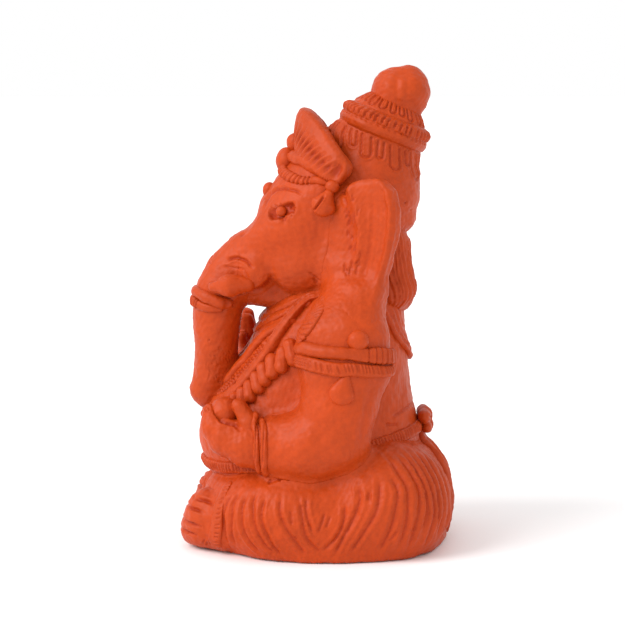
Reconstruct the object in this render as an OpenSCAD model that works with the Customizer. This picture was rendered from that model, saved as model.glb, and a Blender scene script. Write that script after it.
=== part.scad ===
// Seated elephant-headed devotional figure in fired clay.
// Every rolled, pressed or cut lump of clay that the maker luted on is a module of its own.
// The figure faces -Y, its left hand side is +X, and it rests on the plane z = 0.

/* [Lap] */
// Half width over the knees
lap_half_w = 50; // [46:1:54]
// How far the seat reaches behind the origin
lap_back = 56.6; // [54:0.2:58]
// Height of the lap beside the waist
lap_h = 46; // [42:1:48]

/* [Hollow] */
// Radius of the open mouth under the seat
hollow_r = 37; // [28:1:38]
// Height of the hollow inside the body
hollow_h = 82; // [60:1:84]

/* [Crown] */
// Backward lean of the crown, in degrees
crown_lean = 22; // [15:1:28]
// Radius of the collar ring round the crown
ring_r = 18.7; // [16:0.1:20]
// Radius of the round knob on top
knob_r = 12.4; // [10:0.1:13]
// Half height of the front crest at its middle
crest_half_h = 8.3; // [6:0.1:9]

/* [Head] */
// Half width of the head over the cheeks
head_half_w = 24; // [22:0.5:26]
// Half thickness of the ear flaps
ear_t = 4; // [3:0.1:5]
// Radius of the trunk where it hangs free
trunk_r = 9.6; // [8:0.1:10.5]

/* [Limbs] */
// Half width of the upper arm across X
arm_half_w = 12; // [10:0.5:13]
// Half depth of the upper arm along Y
arm_half_d = 18; // [15:0.5:19]

/* [Ornaments] */
// How far cloth bands stand off the skin
band_t = 1.9; // [1.2:0.1:2.5]
// Radius of the small pressed beads
bead_r = 2.9; // [2:0.1:3.5]

/* [Hidden] */

CLAY = [0.86, 0.31, 0.13];
CLAY_RUBBED = [0.80, 0.27, 0.11];
ROUND = 12;   // facets round a modelled lump
BIG_ROUND = 20;   // facets round the large lumps of the head and seat
BEAD_ROUND = 12;   // facets round the beads
BIG = 400;    // larger than the figure, for cutting blocks

// ---- Small tools ----

function unit(v) = v / norm(v);

// Point at parameter u on a smooth curve through a list of points
function along(p, u) =
    let (last = len(p) - 1, i = min(floor(u), last - 1), t = u - i,
         a = p[max(i - 1, 0)], b = p[i], c = p[i + 1], d = p[min(i + 2, last)])
    0.5 * (2 * b + (c - a) * t + (2 * a - 5 * b + 4 * c - d) * t * t + (3 * b - a - 3 * c + d) * t * t * t);

// One elliptical ring of a swept roll; size is [half width, half thickness], thickness lies along up
function roll_ring(centre, dir, size, up, sides) =
    let (side = unit(cross(dir, up)), out = cross(side, dir))
    [for (j = [0 : sides - 1])
        centre + side * size[0] * cos(360 * j / sides) + out * size[1] * sin(360 * j / sides)];

// Closed skin over a list of rings with the same number of points
module loft(rings, closed = false) {
    count = len(rings);
    sides = len(rings[0]);
    spans = closed ? count : count - 1;
    points = [for (r = rings) for (p = r) p];
    walls = [for (k = [0 : spans - 1]) for (j = [0 : sides - 1])
        let (n = (j + 1) % sides, m = (k + 1) % count,
             a = k * sides + j, b = k * sides + n, c = m * sides + n, d = m * sides + j)
        each [[a, b, c], [a, c, d]]];
    caps = closed ? [] : [
        [for (j = [sides - 1 : -1 : 0]) j],
        [for (j = [0 : sides - 1]) (count - 1) * sides + j]];
    polyhedron(points, concat(walls, caps));
}

// Roll of clay with rounded ends laid along a curve
module roll(path, size, up, steps = 2, sides = 8) {
    last = (len(path) - 1) * steps;
    at = [for (k = [0 : last]) along(path, k / steps)];
    sz = [for (k = [0 : last]) along(size, k / steps)];
    ups = [for (k = [0 : last]) is_list(up[0]) ? along(up, k / steps) : up];
    dir = [for (k = [0 : last]) unit(at[min(k + 1, last)] - at[max(k - 1, 0)])];
    loft(concat(
        [for (a = [70, 35])
            roll_ring(at[0] - dir[0] * min(sz[0]) * sin(a), dir[0], sz[0] * cos(a), ups[0], sides)],
        [for (k = [0 : last]) roll_ring(at[k], dir[k], sz[k], ups[k], sides)],
        [for (a = [35, 70])
            roll_ring(at[last] + dir[last] * min(sz[last]) * sin(a), dir[last], sz[last] * cos(a),
                      ups[last], sides)]
    ));
}

// Flat band bent round an upright ellipse, level with z_front towards -Y and with z_back towards +Y;
// it reaches the same angle to both sides of its middle, which is turned from -Y by mid degrees;
// half_h is its half height at the middle and at the ends
module bent_band(centre, radii, z_front, z_back, reach, half_h, half_t, flare = 0, spans = 10, mid = 0) {
    turns = [for (i = [0 : spans]) mid + reach * (2 * i / spans - 1)];
    roll([for (a = turns) [centre[0] + radii[0] * sin(a), centre[1] - radii[1] * cos(a),
                           (z_front + z_back) / 2 + (z_front - z_back) / 2 * cos(a)]],
         [for (a = turns) [half_h[1] + (half_h[0] - half_h[1]) * cos(90 * (a - mid) / reach), half_t]],
         [for (a = turns) [sin(a), -cos(a), flare]], steps = 1);
}

module lump(at, r, fn = ROUND) {
    hull() translate(at) scale(r) sphere(1, $fn = fn);
}

// Lumps pressed into each other in order, [centre, radii] each
module lump_chain(list) {
    for (i = [0 : len(list) - 2]) hull() {
        lump(list[i][0], list[i][1]);
        lump(list[i + 1][0], list[i + 1][1]);
    }
}

module other_side() {
    mirror([1, 0, 0]) children();
}

// ---- Body masses ----

// Open hollow that lets the thick body dry and fire evenly
module hollow() {
    profile = [for (z = [0 : hollow_h / 8 : hollow_h - 1])
        [hollow_r * pow(1 - pow(z / hollow_h, 2), 0.8), z]];
    rotate_extrude($fn = 32) polygon(concat([[0, -1], [hollow_r, -1]], profile, [[0, hollow_h]]));
}

KNEE = [lap_half_w - 20, -13, 17];
module lap_form() {
    intersection() {
        hull() {
            for (s = [-1, 1]) {
                lump([s * KNEE[0], KNEE[1], KNEE[2]], [20, 20, 20], BIG_ROUND);
                lump([s * (lap_half_w - 26), 24, lap_h - 26], [26, 26, 26], BIG_ROUND);
                lump([s * (lap_half_w - 22), 8, 20], [22, 22, 22], BIG_ROUND);
                lump([s * 16, -29, 14], [16, 16, 15], BIG_ROUND);
            }
            lump([0, lap_back - 24, lap_h - 24], [24, 24, 24], BIG_ROUND);
            // foot of the seat
            for (s = [-1, 1]) {
                translate([s * (lap_half_w - 20), -13, 0]) cylinder(r = 18, h = 4, $fn = BIG_ROUND);
                translate([s * (lap_half_w - 26), 22, 0]) cylinder(r = 24, h = 4, $fn = BIG_ROUND);
                translate([s * 16, -29, 0]) cylinder(r = 14, h = 4, $fn = BIG_ROUND);
            }
            translate([0, lap_back - 24, 0]) cylinder(r = 21.6, h = 4, $fn = BIG_ROUND);
        }
        translate([-BIG / 2, -BIG / 2, 0]) cube(BIG);
    }
}

module lap() {
    color(CLAY) difference() {
        lap_form();
        hollow();
    }
}

// Torso sections: height, centre along Y, half width, half depth
TORSO = [
    [24, -4, 33, 37], [31, -4, 36, 43], [38, -3.5, 37, 45.5], [45, -3, 37, 46.5], [52, -2.5, 36, 45],
    [60, -1, 34, 41.5], [70, 1, 33, 38], [80, 4, 33, 34.5], [90, 6.5, 32, 31], [100, 9, 27, 26],
    [107, 10, 20, 20], [111, 10, 12, 12]];
TORSO_SIDES = 24;
module torso_form() {
    loft([for (s = TORSO) [for (j = [0 : TORSO_SIDES - 1]) let (a = 360 * j / TORSO_SIDES)
        [s[2] * cos(a), s[1] - s[3] * sin(a), s[0]]]]);
}

// Torso section at any height, and the point on the skin at an angle counted from +X towards the front
function torso_row(z) = max([for (i = [0 : len(TORSO) - 2]) TORSO[i][0] <= z ? i : 0]);
function torso_at(z) = let (i = torso_row(z), t = (z - TORSO[i][0]) / (TORSO[i + 1][0] - TORSO[i][0]))
    TORSO[i] * (1 - t) + TORSO[i + 1] * t;
function on_torso(a, z, out) = let (s = torso_at(z))
    [(s[2] + out) * cos(a), s[1] - (s[3] + out) * sin(a), z];

// Cloth laid on the torso; each entry is [angle, lower edge, upper edge]
module torso_cloth(line, t, closed = false, rows = 2) {
    loft([for (p = line) concat(
        [for (k = [rows : -1 : 0])
            on_torso(p[0], p[1] + (p[2] - p[1]) * k / rows, t * (k == 0 || k == rows ? 0.6 : 1))],
        [for (k = [0 : rows]) on_torso(p[0], p[1] + (p[2] - p[1]) * k / rows, 0)])], closed);
}

module torso() {
    color(CLAY) difference() {
        torso_form();
        lap_form();
        hollow();
    }
}

module head_form() {
    hull() {
        lump([0, 4, 143], [head_half_w, 23, 22], BIG_ROUND);
        lump([0, -8, 132], [head_half_w - 1, 20.5, 16], BIG_ROUND);
        lump([0, -22, 122], [14, 14, 11], BIG_ROUND);
        lump([0, 4, 118], [head_half_w, 18, 13], BIG_ROUND);
    }
}

CHEEK = [13, -21, 113];
module cheeks() {
    for (s = [-1, 1]) lump([s * CHEEK[0], CHEEK[1], CHEEK[2]], [8, 8, 7]);
}

module lower_lip() {
    lump([0, -19, 105], [9, 9, 6]);
}

module head() {
    color(CLAY) difference() {
        union() {
            head_form();
            cheeks();
            lower_lip();
        }
        torso_form();
        crown_body_form();
    }
}

RING_AT = [0, 27, 171];
RING_LOW = -1.6;      // lower edge of the ring along the crown's own axis
RING_HIGH = 8.2;      // groove between ring and cap
CAP_HIGH = 14.4;      // where the cap meets the knob
KNOB_UP = 17.2;       // middle of the knob
module on_crown() {
    translate(RING_AT) rotate([-crown_lean, 0, 0]) children();
}

module crown_body_form() {
    hull() {
        lump([0, 22, 149], [21.5, 21.5, 19]);
        lump([0, 25, 134], [16, 14, 12]);
        on_crown() translate([0, 0, RING_LOW - 2]) cylinder(r = ring_r - 2.2, h = 2, $fn = 36);
    }
}

module crown_body() {
    color(CLAY) difference() {
        crown_body_form();
        torso_form();
    }
}

TRUNK = [[0, -22, 121], [0, -34, 116.5], [0, -41, 107.5], [0, -42.5, 97], [0, -43, 83], [0, -43.8, 72],
         [1, -45.8, 63.5]];
module trunk_form() {
    roll(TRUNK,
         [[12, 14], [11.5, 13], [11.2, 11.5], [trunk_r + 1.1, trunk_r + 0.9], [trunk_r, trunk_r],
          [trunk_r - 0.8, trunk_r - 1], [trunk_r - 1.8, trunk_r - 1.8]],
         [1, 0, 0], sides = 16);
}

module trunk() {
    color(CLAY) difference() {
        trunk_form();
        head_form();
        cheeks();
        lower_lip();
        torso_form();
    }
}

module ear_form() {
    hull() {
        lump([27, 13, 147], [ear_t, 5, 5]);
        lump([38, 22, 150.5], [ear_t, 4, 4.5]);
        lump([44.5, 31, 145], [ear_t, 4, 5]);
        lump([45.5, 32.5, 127], [ear_t, 4, 6]);
        lump([40, 29, 106], [ear_t, 4, 6]);
        lump([33, 16, 100], [ear_t, 5, 5]);
        lump([27, 10, 110], [ear_t, 4, 5]);
    }
}

module ear() {
    color(CLAY) difference() {
        ear_form();
        head_form();
        torso_form();
        arm_form(LEFT_ARM);
    }
}

module tusk_form() {
    hull() {
        lump([13.5, -26, 111.5], [4.5, 5, 5]);
        lump([15, -34, 110.5], [3.6, 5, 4]);
    }
    hull() {
        lump([15, -34, 110.5], [3.6, 5, 4]);
        lump([16, -44, 109.5], [1.2, 1.5, 1.2]);
    }
}

module tusk() {
    color(CLAY) difference() {
        tusk_form();
        cheeks();
        head_form();
        trunk_form();
    }
}

module eye() {
    color(CLAY) difference() {
        lump([18.6, -14.4, 139.5], [bead_r, bead_r, bead_r]);
        head_form();
    }
}

// ---- Limbs ----

LEFT_ARM = [
    [[29, 13, 100], [10, 13, 9]],
    [[36, 11.5, 90], [arm_half_w, arm_half_d - 1, 12]],
    [[38, 11.5, 76], [arm_half_w, arm_half_d, 12]],
    [[38.5, 9, 62], [arm_half_w, arm_half_d - 3.4, 12]],
    [[38, 6.5, 48], [arm_half_w, arm_half_d - 4.2, 12.5]],
    [[38, -4, 46], [11, 12, 13]],
    [[36, -17, 45], [9, 8, 11.5]]];
RIGHT_ARM = [
    LEFT_ARM[0], LEFT_ARM[1], LEFT_ARM[2], LEFT_ARM[3],
    [[38, 5, 49], [arm_half_w, 14, 12]],
    [[38, -12, 52], [10, 10, 11]],
    [[37, -27, 62], [7.5, 7.5, 8]]];

module arm_form(list) {
    lump_chain(list);
}

module left_arm() {
    color(CLAY) difference() {
        arm_form(LEFT_ARM);
        torso_form();
        lap_form();
    }
}

module right_arm() {
    color(CLAY) difference() {
        other_side() arm_form(RIGHT_ARM);
        torso_form();
        lap_form();
    }
}

LEFT_HAND = [
    [[36, -21, 45.5], [8, 8, 11]], [[34, -29, 46], [8, 7.5, 8.4]], [[31, -38, 49.2], [7, 6, 7]],
    [[29, -43, 54], [5.4, 4.2, 5]], [[28.5, -43.4, 58.6], [4.6, 3.2, 3.6]]];
module left_hand() {
    color(CLAY) difference() {
        lump_chain(LEFT_HAND);
        arm_form(LEFT_ARM);
        torso_form();
        lap_form();
        sweet_form();
    }
}

SWEET_AT = [28, -36.8, 58];
SWEET_R = 5.8;
module sweet_form() {
    lump(SWEET_AT, SWEET_R * [1, 1, 1], BEAD_ROUND);
}

module sweet_ball() {
    color(CLAY) difference() {
        sweet_form();
        torso_form();
    }
}

THUMB = [[[35.5, -25, 51], [4.2, 3.8, 4.2]], [[34.3, -31.3, 62.6], [3.3, 3.1, 3.2]]];
module left_thumb() {
    color(CLAY) difference() {
        lump_chain(THUMB);
        lump_chain(LEFT_HAND);
        arm_form(LEFT_ARM);
        sweet_form();
        torso_form();
    }
}

// Raised hand, palm to the front, four fingers up
RIGHT_PALM = [[[36, -29, 68], [7.5, 5.5, 6]], [[35.5, -31.5, 79], [8, 4.5, 7]]];
module right_hand_form() {
    other_side() {
        lump_chain(RIGHT_PALM);
        for (i = [0 : 3]) hull() {
            lump([29.9 + 3.8 * i, -31.5, 83], [2.3, 2.9, 3]);
            lump([29.7 + 3.9 * i, -32, 92 - abs(i - 1.4) * 1.4], [2, 2.4, 2.2]);
        }
    }
}

module right_hand() {
    color(CLAY) difference() {
        right_hand_form();
        other_side() arm_form(RIGHT_ARM);
    }
}

module right_thumb() {
    color(CLAY) difference() {
        other_side() lump_chain([[[30, -30, 73], [3, 3, 3.5]], [[26.5, -32.5, 82], [2.4, 2.4, 2.6]]]);
        right_hand_form();
        other_side() arm_form(RIGHT_ARM);
        torso_form();
    }
}

FOOT = [[[25, -37, 13.5], [13, 9, 12.5]], [[19, -45, 11.5], [12, 8, 11.5]],
        [[15, -51.9, 8.5], [10, 6.4, 8.5]]];
module foot_form() {
    intersection() {
        lump_chain(FOOT);
        translate([2, -BIG / 2, 0]) cube(BIG);
    }
}

module foot() {
    color(CLAY) difference() {
        foot_form();
        lap_form();
        torso_form();
    }
}

// ---- Crown ----

module crown_ring() {
    color(CLAY_RUBBED) on_crown() rotate_extrude($fn = 72)
        polygon([[0, RING_LOW], [ring_r - 1.8, RING_LOW], [ring_r - 0.3, -0.2], [ring_r, 2.4], [ring_r, 5],
                 [ring_r - 1, 6.6], [ring_r - 2.4, RING_HIGH], [0, RING_HIGH]]);
}

module crown_cap() {
    color(CLAY) on_crown() difference() {
        rotate_extrude($fn = 72)
            polygon([[0, RING_HIGH], [ring_r - 2.9, RING_HIGH], [ring_r - 4.6, 11.4],
                     [10.4, CAP_HIGH], [0, CAP_HIGH]]);
        translate([0, 0, KNOB_UP]) sphere(knob_r, $fn = 64);
    }
}

module crown_knob() {
    color(CLAY) on_crown() translate([0, 0, KNOB_UP]) sphere(knob_r, $fn = 64);
}

module crest_form() {
    bent_band([0, 12], [22, 21], 173, 144, 100, [crest_half_h, 4.6], 3, flare = -0.25, spans = 14);
}

module crest() {
    color(CLAY_RUBBED) difference() {
        crest_form();
        head_form();
        crown_body_form();
    }
}

module crest_roll_form() {
    bent_band([0, 9], [24, 23], 165, 146, 90, [3.6, 2.6], 2.6, flare = 0.2);
}

module crest_roll() {
    color(CLAY) difference() {
        crest_roll_form();
        head_form();
        crown_body_form();
        crest_form();
    }
}

module brow_band_form() {
    bent_band([0, 6], [23.6, 23], 157, 148, 85, [3.4, 2.2], 2.2, flare = 0.3);
}

module brow_band() {
    color(CLAY) difference() {
        brow_band_form();
        head_form();
        crest_roll_form();
        crown_body_form();
    }
}

module boss_forms() {
    lump([0, -15.4, 159], [5.4, 5.4, 5.4], BEAD_ROUND);
    lump([0, -12.6, 167.6], [3.8, 3.8, 3.8], BEAD_ROUND);
}

module crest_bosses() {
    color(CLAY) difference() {
        boss_forms();
        head_form();
        crest_roll_form();
        crest_form();
        brow_band_form();
    }
}

module forehead_bead() {
    color(CLAY) difference() {
        lump([0, -19.4, 148], [bead_r + 0.3, bead_r + 0.3, bead_r + 0.3], BEAD_ROUND);
        head_form();
    }
}

module temple_bead_form() {
    lump([24, 5.4, 150.4], [bead_r, bead_r, bead_r], BEAD_ROUND);
}

module temple_bead() {
    color(CLAY) difference() {
        temple_bead_form();
        head_form();
        crest_form();
        ear_form();
        brow_band_form();
        crest_roll_form();
    }
}

module temple_drop() {
    color(CLAY) difference() {
        hull() {
            lump([24, 4.6, 147.6], [2, 1.6, 1.6]);
            lump([24, 2.4, 142.6], [2.4, 4.2, 4.2]);
        }
        head_form();
        ear_form();
        temple_bead_form();
    }
}

// ---- Bands on the trunk and arms ----

module trunk_roll_form() {
    bent_band([0, -42.3], [11.6, 12], 103.4, 99.4, 140, [2.4, 2.8], 1.9);
}

module trunk_roll() {
    color(CLAY_RUBBED) difference() {
        trunk_roll_form();
        trunk_form();
    }
}

module trunk_strip() {
    color(CLAY_RUBBED) difference() {
        bent_band([0, -42.4], [11, 11.4], 99.2, 95, 130, [1.9, 1.1], 1.3);
        trunk_form();
        trunk_roll_form();
    }
}

ARMLET = [37.6, 11.4];    // axis of the upper arm at the armlet
ARMLET_R = [arm_half_w + 0.8, arm_half_d + 0.6];
module armlet_roll_form() {
    bent_band(ARMLET, ARMLET_R, 85.2, 83.4, 112, [2.8, 2.8], 2.4, mid = 92);
}

module armlet_strip_form() {
    bent_band(ARMLET, ARMLET_R, 79.3, 77.4, 112, [2.6, 2.6], 1.7, mid = 92);
}

module armlet_roll() {
    color(CLAY_RUBBED) difference() {
        armlet_roll_form();
        arm_form(LEFT_ARM);
        torso_form();
    }
}

module armlet_strip() {
    color(CLAY_RUBBED) difference() {
        armlet_strip_form();
        arm_form(LEFT_ARM);
        torso_form();
    }
}

module armlet_bead() {
    color(CLAY) difference() {
        lump([48.2, 16.3, 91], [4.4, 4.4, 4.4], BEAD_ROUND);
        arm_form(LEFT_ARM);
        armlet_roll_form();
    }
}

module armlet_drop() {
    color(CLAY) difference() {
        hull() {
            lump([49.8, 12, 77], [1.6, 1.6, 1.8]);
            lump([50.3, 10.1, 70.3], [2.2, 5, 5.1]);
        }
        arm_form(LEFT_ARM);
        armlet_strip_form();
    }
}

// Two thin strips pressed side by side round the wrist
WRIST_LEFT = [36, -19, 45];
module left_bracelet() {
    color(CLAY_RUBBED) difference() {
        for (i = [0, 1])
            roll([for (a = [0 : 40 : 280])
                     WRIST_LEFT + [9.6 * cos(a - 60), 2.9 * i - 0.4 * sin(a), 12.4 * sin(a - 60)]],
                 [for (a = [0 : 40 : 280]) [1.3, 1.6]],
                 [for (a = [0 : 40 : 280]) [cos(a - 60), 0, sin(a - 60)]],
                 steps = 1, sides = 6);
        arm_form(LEFT_ARM);
        lump_chain(LEFT_HAND);
        lump_chain(THUMB);
        lap_form();
        torso_form();
    }
}

WRIST_RIGHT = [36.6, -28, 64.5];
module right_bracelet() {
    color(CLAY_RUBBED) difference() {
        other_side() for (i = [0, 1])
            translate(WRIST_RIGHT + [0, -0.6, 2.9 * (i - 0.5)])
                roll([for (a = [0 : 40 : 280]) [8.2 * cos(a - 60), 7.2 * sin(a - 60), 0]],
                     [for (a = [0 : 40 : 280]) [1.3, 1.5]],
                     [for (a = [0 : 40 : 280]) [cos(a - 60), sin(a - 60), 0]],
                     steps = 1, sides = 6);
        other_side() arm_form(RIGHT_ARM);
        right_hand_form();
        torso_form();
    }
}

// ---- Cloth and strings on the body ----

// Ribbon worn over the left shoulder that runs across the chest to the right hip
STRAP = [[30, 102], [45, 92], [60, 81], [75, 71], [90, 63], [105, 57], [120, 53], [135, 51],
         [150, 51], [165, 53]];
STRAP_W = 5;
module strap_form() {
    torso_cloth([for (p = STRAP) [p[0], p[1] - STRAP_W / 2, p[1] + STRAP_W / 2]], band_t);
}

module sacred_strap() {
    color(CLAY_RUBBED) difference() {
        strap_form();
        arms_cut();
        sweet_form();
    }
}

module arms_cut() {
    arm_form(LEFT_ARM);
    other_side() arm_form(RIGHT_ARM);
}

// Height of a string hung round the neck: top at the sides, drop to the lowest point in front
function hung(a, top, low) = low + (top - low) * pow(1 - abs(sin(a)), 0.7);

module neck_string(reach, top, low, half_w, t) {
    torso_cloth([for (a = [90 - reach : 15 : 90 + reach])
        [a, hung(a, top, low) - half_w, hung(a, top, low) + half_w]], t);
}

module collar() {
    color(CLAY) difference() {
        neck_string(60, 108, 87, 3, band_t * 0.8);
        strap_form();
        head_form();
        arms_cut();
    }
}

module necklace_form() {
    neck_string(60, 101, 73, 4, band_t * 0.7);
}

module necklace() {
    color(CLAY) difference() {
        necklace_form();
        strap_form();
        arms_cut();
    }
}

// Hatched ends of the neckpiece that lie on the front of each shoulder
module shoulder_band_form() {
    torso_cloth([[0, 88, 97], [15, 86, 98], [30, 84, 97], [45, 80, 89]], band_t);
}

module shoulder_band() {
    color(CLAY_RUBBED) difference() {
        shoulder_band_form();
        strap_form();
        arms_cut();
        necklace_form();
    }
}

// Thick twisted garland that hangs over the belly, beads worked out along one curve
GARLAND = [[27, -8, 84], [30, -17, 76], [29.5, -27, 67], [24, -36, 59.5], [13, -43.5, 54], [0, -46.5, 52]];
GARLAND_BEADS = 11;
module garland_form() {
    for (s = [-1, 1]) scale([s, 1, 1]) for (i = [0 : GARLAND_BEADS])
        let (u = (len(GARLAND) - 1) * i / GARLAND_BEADS, r = 5 - 1.2 * i / GARLAND_BEADS)
        lump(along(GARLAND, u), [r, r, r], 8);
}

module garland() {
    color(CLAY) difference() {
        garland_form();
        torso_form();
        arms_cut();
        lump_chain(LEFT_HAND);
        sweet_form();
        lump_chain(THUMB);
        trunk_form();
        strap_form();
    }
}

module hair_form() {
    hull() for (s = [-1, 1]) {
        lump([s * 13, 29, 123], [8, 9.5, 8]);
        lump([s * 10, 32, 104], [8, 9.3, 7]);
        lump([s * 3, 35, 96], [5, 5, 4]);
    }
}

module hair_locks() {
    color(CLAY_RUBBED) difference() {
        hair_form();
        head_form();
        crown_body_form();
        torso_form();
    }
}

// Shawl over the shoulders that ends in a point on the middle of the back
SHAWL_POINT = 77;
module back_shawl() {
    color(CLAY) difference() {
        torso_cloth([for (a = [210 : 15 : 330])
            [a, min(SHAWL_POINT + 0.48 * abs(a - 270), 102), 106]], band_t, rows = 4);
        arms_cut();
        hair_form();
        head_form();
    }
}

// Belt under the pot belly, higher at the back than in front
BELT_Z = 42;
BELT_W = 6.4;
module waist_belt() {
    color(CLAY_RUBBED) difference() {
        torso_cloth([for (a = [0 : 15 : 345]) let (z = BELT_Z - 9.8 * sin(a))
            [a, z - BELT_W / 2, z + BELT_W / 2]],
                    band_t, closed = true);
        lap_form();
        arms_cut();
        lump_chain(LEFT_HAND);
        knot_form();
    }
}

module knot_form() {
    lump([0, 45.5, 54], [5, 4.4, 4.4]);
    lump([0, 47.6, 48.6], [4.2, 3.8, 4]);
    for (s = [-1, 1]) lump([s * 6.5, 44.6, 53], [5, 3, 3.4]);
}

module waist_knot() {
    color(CLAY) difference() {
        knot_form();
        torso_form();
        lap_form();
    }
}

// End of the dhoti that hangs from the knot down the back of the seat
TAIL = [[0, 47.4, 45], [0, 52, 37], [0, 56.2, 26], [0, 56.1, 14], [0, 55, 3]];
module dhoti_tail() {
    color(CLAY_RUBBED) difference() {
        intersection() {
            roll(TAIL, [[4, 1.6], [6, 1.7], [7.5, 1.7], [8.5, 1.7], [9, 1.7]], [0, 1, 0.2], sides = 12);
            translate([-BIG / 2, -BIG / 2, 0]) cube(BIG);
        }
        lap_form();
        torso_form();
        knot_form();
    }
}

// Gathered cloth that spills from the belt down between the feet
FOLD = [[0, -41, 31], [0, -46.5, 25], [0, -49.5, 15], [0, -50, 4]];
module front_fold() {
    color(CLAY) difference() {
        intersection() {
            roll(FOLD, [[7, 2.6], [7.5, 2.6], [6.5, 2.6], [6, 2.4]], [0, -1, 0.3], sides = 12);
            translate([-BIG / 2, -BIG / 2, 0]) cube(BIG);
        }
        lap_form();
        torso_form();
        foot_form();
        other_side() foot_form();
    }
}

HEM = [[19, -37, 28], [29, -38.5, 25], [37.5, -37, 16], [38.5, -36, 4]];
module ankle_hem() {
    color(CLAY_RUBBED) difference() {
        intersection() {
            roll(HEM, [[2.8, 2.4], [2.8, 2.8], [2.8, 2.8], [2.8, 2.6]],
                 [[0.1, -0.4, 1], [0.5, -0.4, 0.8], [1, -0.4, 0.2], [1, -0.4, 0]]);
            translate([-BIG / 2, -BIG / 2, 0]) cube(BIG);
        }
        lap_form();
        foot_form();
        torso_form();
    }
}

// ---- Nodes ----

lap();
torso();
head();
crown_body();
trunk();
ear();  // left_ear
other_side() ear();  // right_ear
tusk();  // left_tusk
other_side() tusk();  // right_tusk
eye();  // left_eye
other_side() eye();  // right_eye
left_arm();
right_arm();
left_hand();
right_hand();
left_thumb();
right_thumb();
sweet_ball();
foot();  // left_foot
other_side() foot();  // right_foot
crown_ring();
crown_cap();
crown_knob();
crest();
crest_roll();
brow_band();
crest_bosses();
forehead_bead();
temple_bead();  // left_temple_bead
other_side() temple_bead();  // right_temple_bead
temple_drop();  // left_temple_drop
other_side() temple_drop();  // right_temple_drop
trunk_roll();
trunk_strip();
armlet_roll();  // left_armlet_roll
other_side() armlet_roll();  // right_armlet_roll
armlet_strip();  // left_armlet_strip
other_side() armlet_strip();  // right_armlet_strip
armlet_bead();  // left_armlet_bead
other_side() armlet_bead();  // right_armlet_bead
armlet_drop();  // left_armlet_drop
other_side() armlet_drop();  // right_armlet_drop
left_bracelet();
right_bracelet();
sacred_strap();
collar();
necklace();
shoulder_band();  // left_shoulder_band
other_side() shoulder_band();  // right_shoulder_band
garland();
hair_locks();
back_shawl();
waist_belt();
waist_knot();
dhoti_tail();
front_fold();
ankle_hem();  // left_ankle_hem
other_side() ankle_hem();  // right_ankle_hem
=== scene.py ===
"""Seated elephant-headed figure in terracotta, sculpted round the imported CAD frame.

Body masses are smooth fields of distance that are pressed into each other like clay, and each mass is
meshed as a piece of its own. Rolls, strips and beads are then laid on that skin, and every cut, pleat and
finger mark is pressed into the meshes as a stroke.
"""

import math

import bpy
import numpy as np
import openvdb
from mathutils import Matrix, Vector


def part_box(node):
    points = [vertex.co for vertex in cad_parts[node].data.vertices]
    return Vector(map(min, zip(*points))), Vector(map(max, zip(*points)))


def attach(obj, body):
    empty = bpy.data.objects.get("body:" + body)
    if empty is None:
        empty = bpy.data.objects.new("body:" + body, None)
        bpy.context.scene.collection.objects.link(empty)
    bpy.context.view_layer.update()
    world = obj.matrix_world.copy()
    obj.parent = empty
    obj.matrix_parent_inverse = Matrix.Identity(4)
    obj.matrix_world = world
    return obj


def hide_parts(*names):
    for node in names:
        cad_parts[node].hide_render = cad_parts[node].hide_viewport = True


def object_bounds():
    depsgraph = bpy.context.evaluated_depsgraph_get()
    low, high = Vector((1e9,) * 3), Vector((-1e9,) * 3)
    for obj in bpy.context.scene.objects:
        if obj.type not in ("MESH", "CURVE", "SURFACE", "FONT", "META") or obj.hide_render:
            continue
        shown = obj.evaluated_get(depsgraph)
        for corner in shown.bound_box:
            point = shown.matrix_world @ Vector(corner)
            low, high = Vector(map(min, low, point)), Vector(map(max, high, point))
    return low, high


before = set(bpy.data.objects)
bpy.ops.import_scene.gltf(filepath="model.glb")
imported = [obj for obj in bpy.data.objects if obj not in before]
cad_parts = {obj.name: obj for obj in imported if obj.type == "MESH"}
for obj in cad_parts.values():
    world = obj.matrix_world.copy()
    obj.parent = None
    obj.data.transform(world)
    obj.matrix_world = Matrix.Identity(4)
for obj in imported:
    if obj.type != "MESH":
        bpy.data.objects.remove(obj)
cad_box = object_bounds()

# Lengths below are millimetres in the shared frame, made for a figure of this height.
FIGURE_HEIGHT = 199.3
MM = (cad_box[1].z - cad_box[0].z) / FIGURE_HEIGHT
FINE = 0.5         # voxel of the masses
FINER = 0.36       # voxel of hands and ornaments
FAR = 1e3          # a distance outside everything
MARGIN = 9.0       # how far past its ellipsoid a field is worked out
TINY = 1e-9        # keeps a division from failing
rng = np.random.default_rng(7)


def mid(node):
    """Centre of a CAD node's box, in millimetres."""
    lo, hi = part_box(node)
    return np.array((lo + hi) / 2) / MM


def run_along(points):
    """How far along a polyline each of its points lies."""
    return np.concatenate([[0], np.cumsum(np.linalg.norm(np.diff(points, axis=0), axis=1))])


def unit(rows):
    """Rows brought to length 1."""
    return rows / np.maximum(np.linalg.norm(rows, axis=1), TINY)[:, None]


# -------- fields of distance

class Grid:
    """Sample points of a field: an upright box of voxels, or a list of points."""

    def __init__(self, lo, hi, step):
        self.step = step
        self.lo = np.floor(np.array(lo, float) / step) * step
        count = np.ceil((np.array(hi, float) - self.lo) / step).astype(int) + 1
        self.hi = self.lo + step * (count - 1)
        axes = [(self.lo[i] + step * np.arange(count[i])).astype(np.float32) for i in range(3)]
        self.x, self.y, self.z = axes[0][:, None, None], axes[1][None, :, None], axes[2][None, None, :]
        self.shape = tuple(count)


class Points(Grid):

    def __init__(self, points):
        points = np.asarray(points, np.float32)
        self.x, self.y, self.z = points.T
        self.lo, self.hi = points.min(0), points.max(0)
        self.shape = (len(points),)


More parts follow.
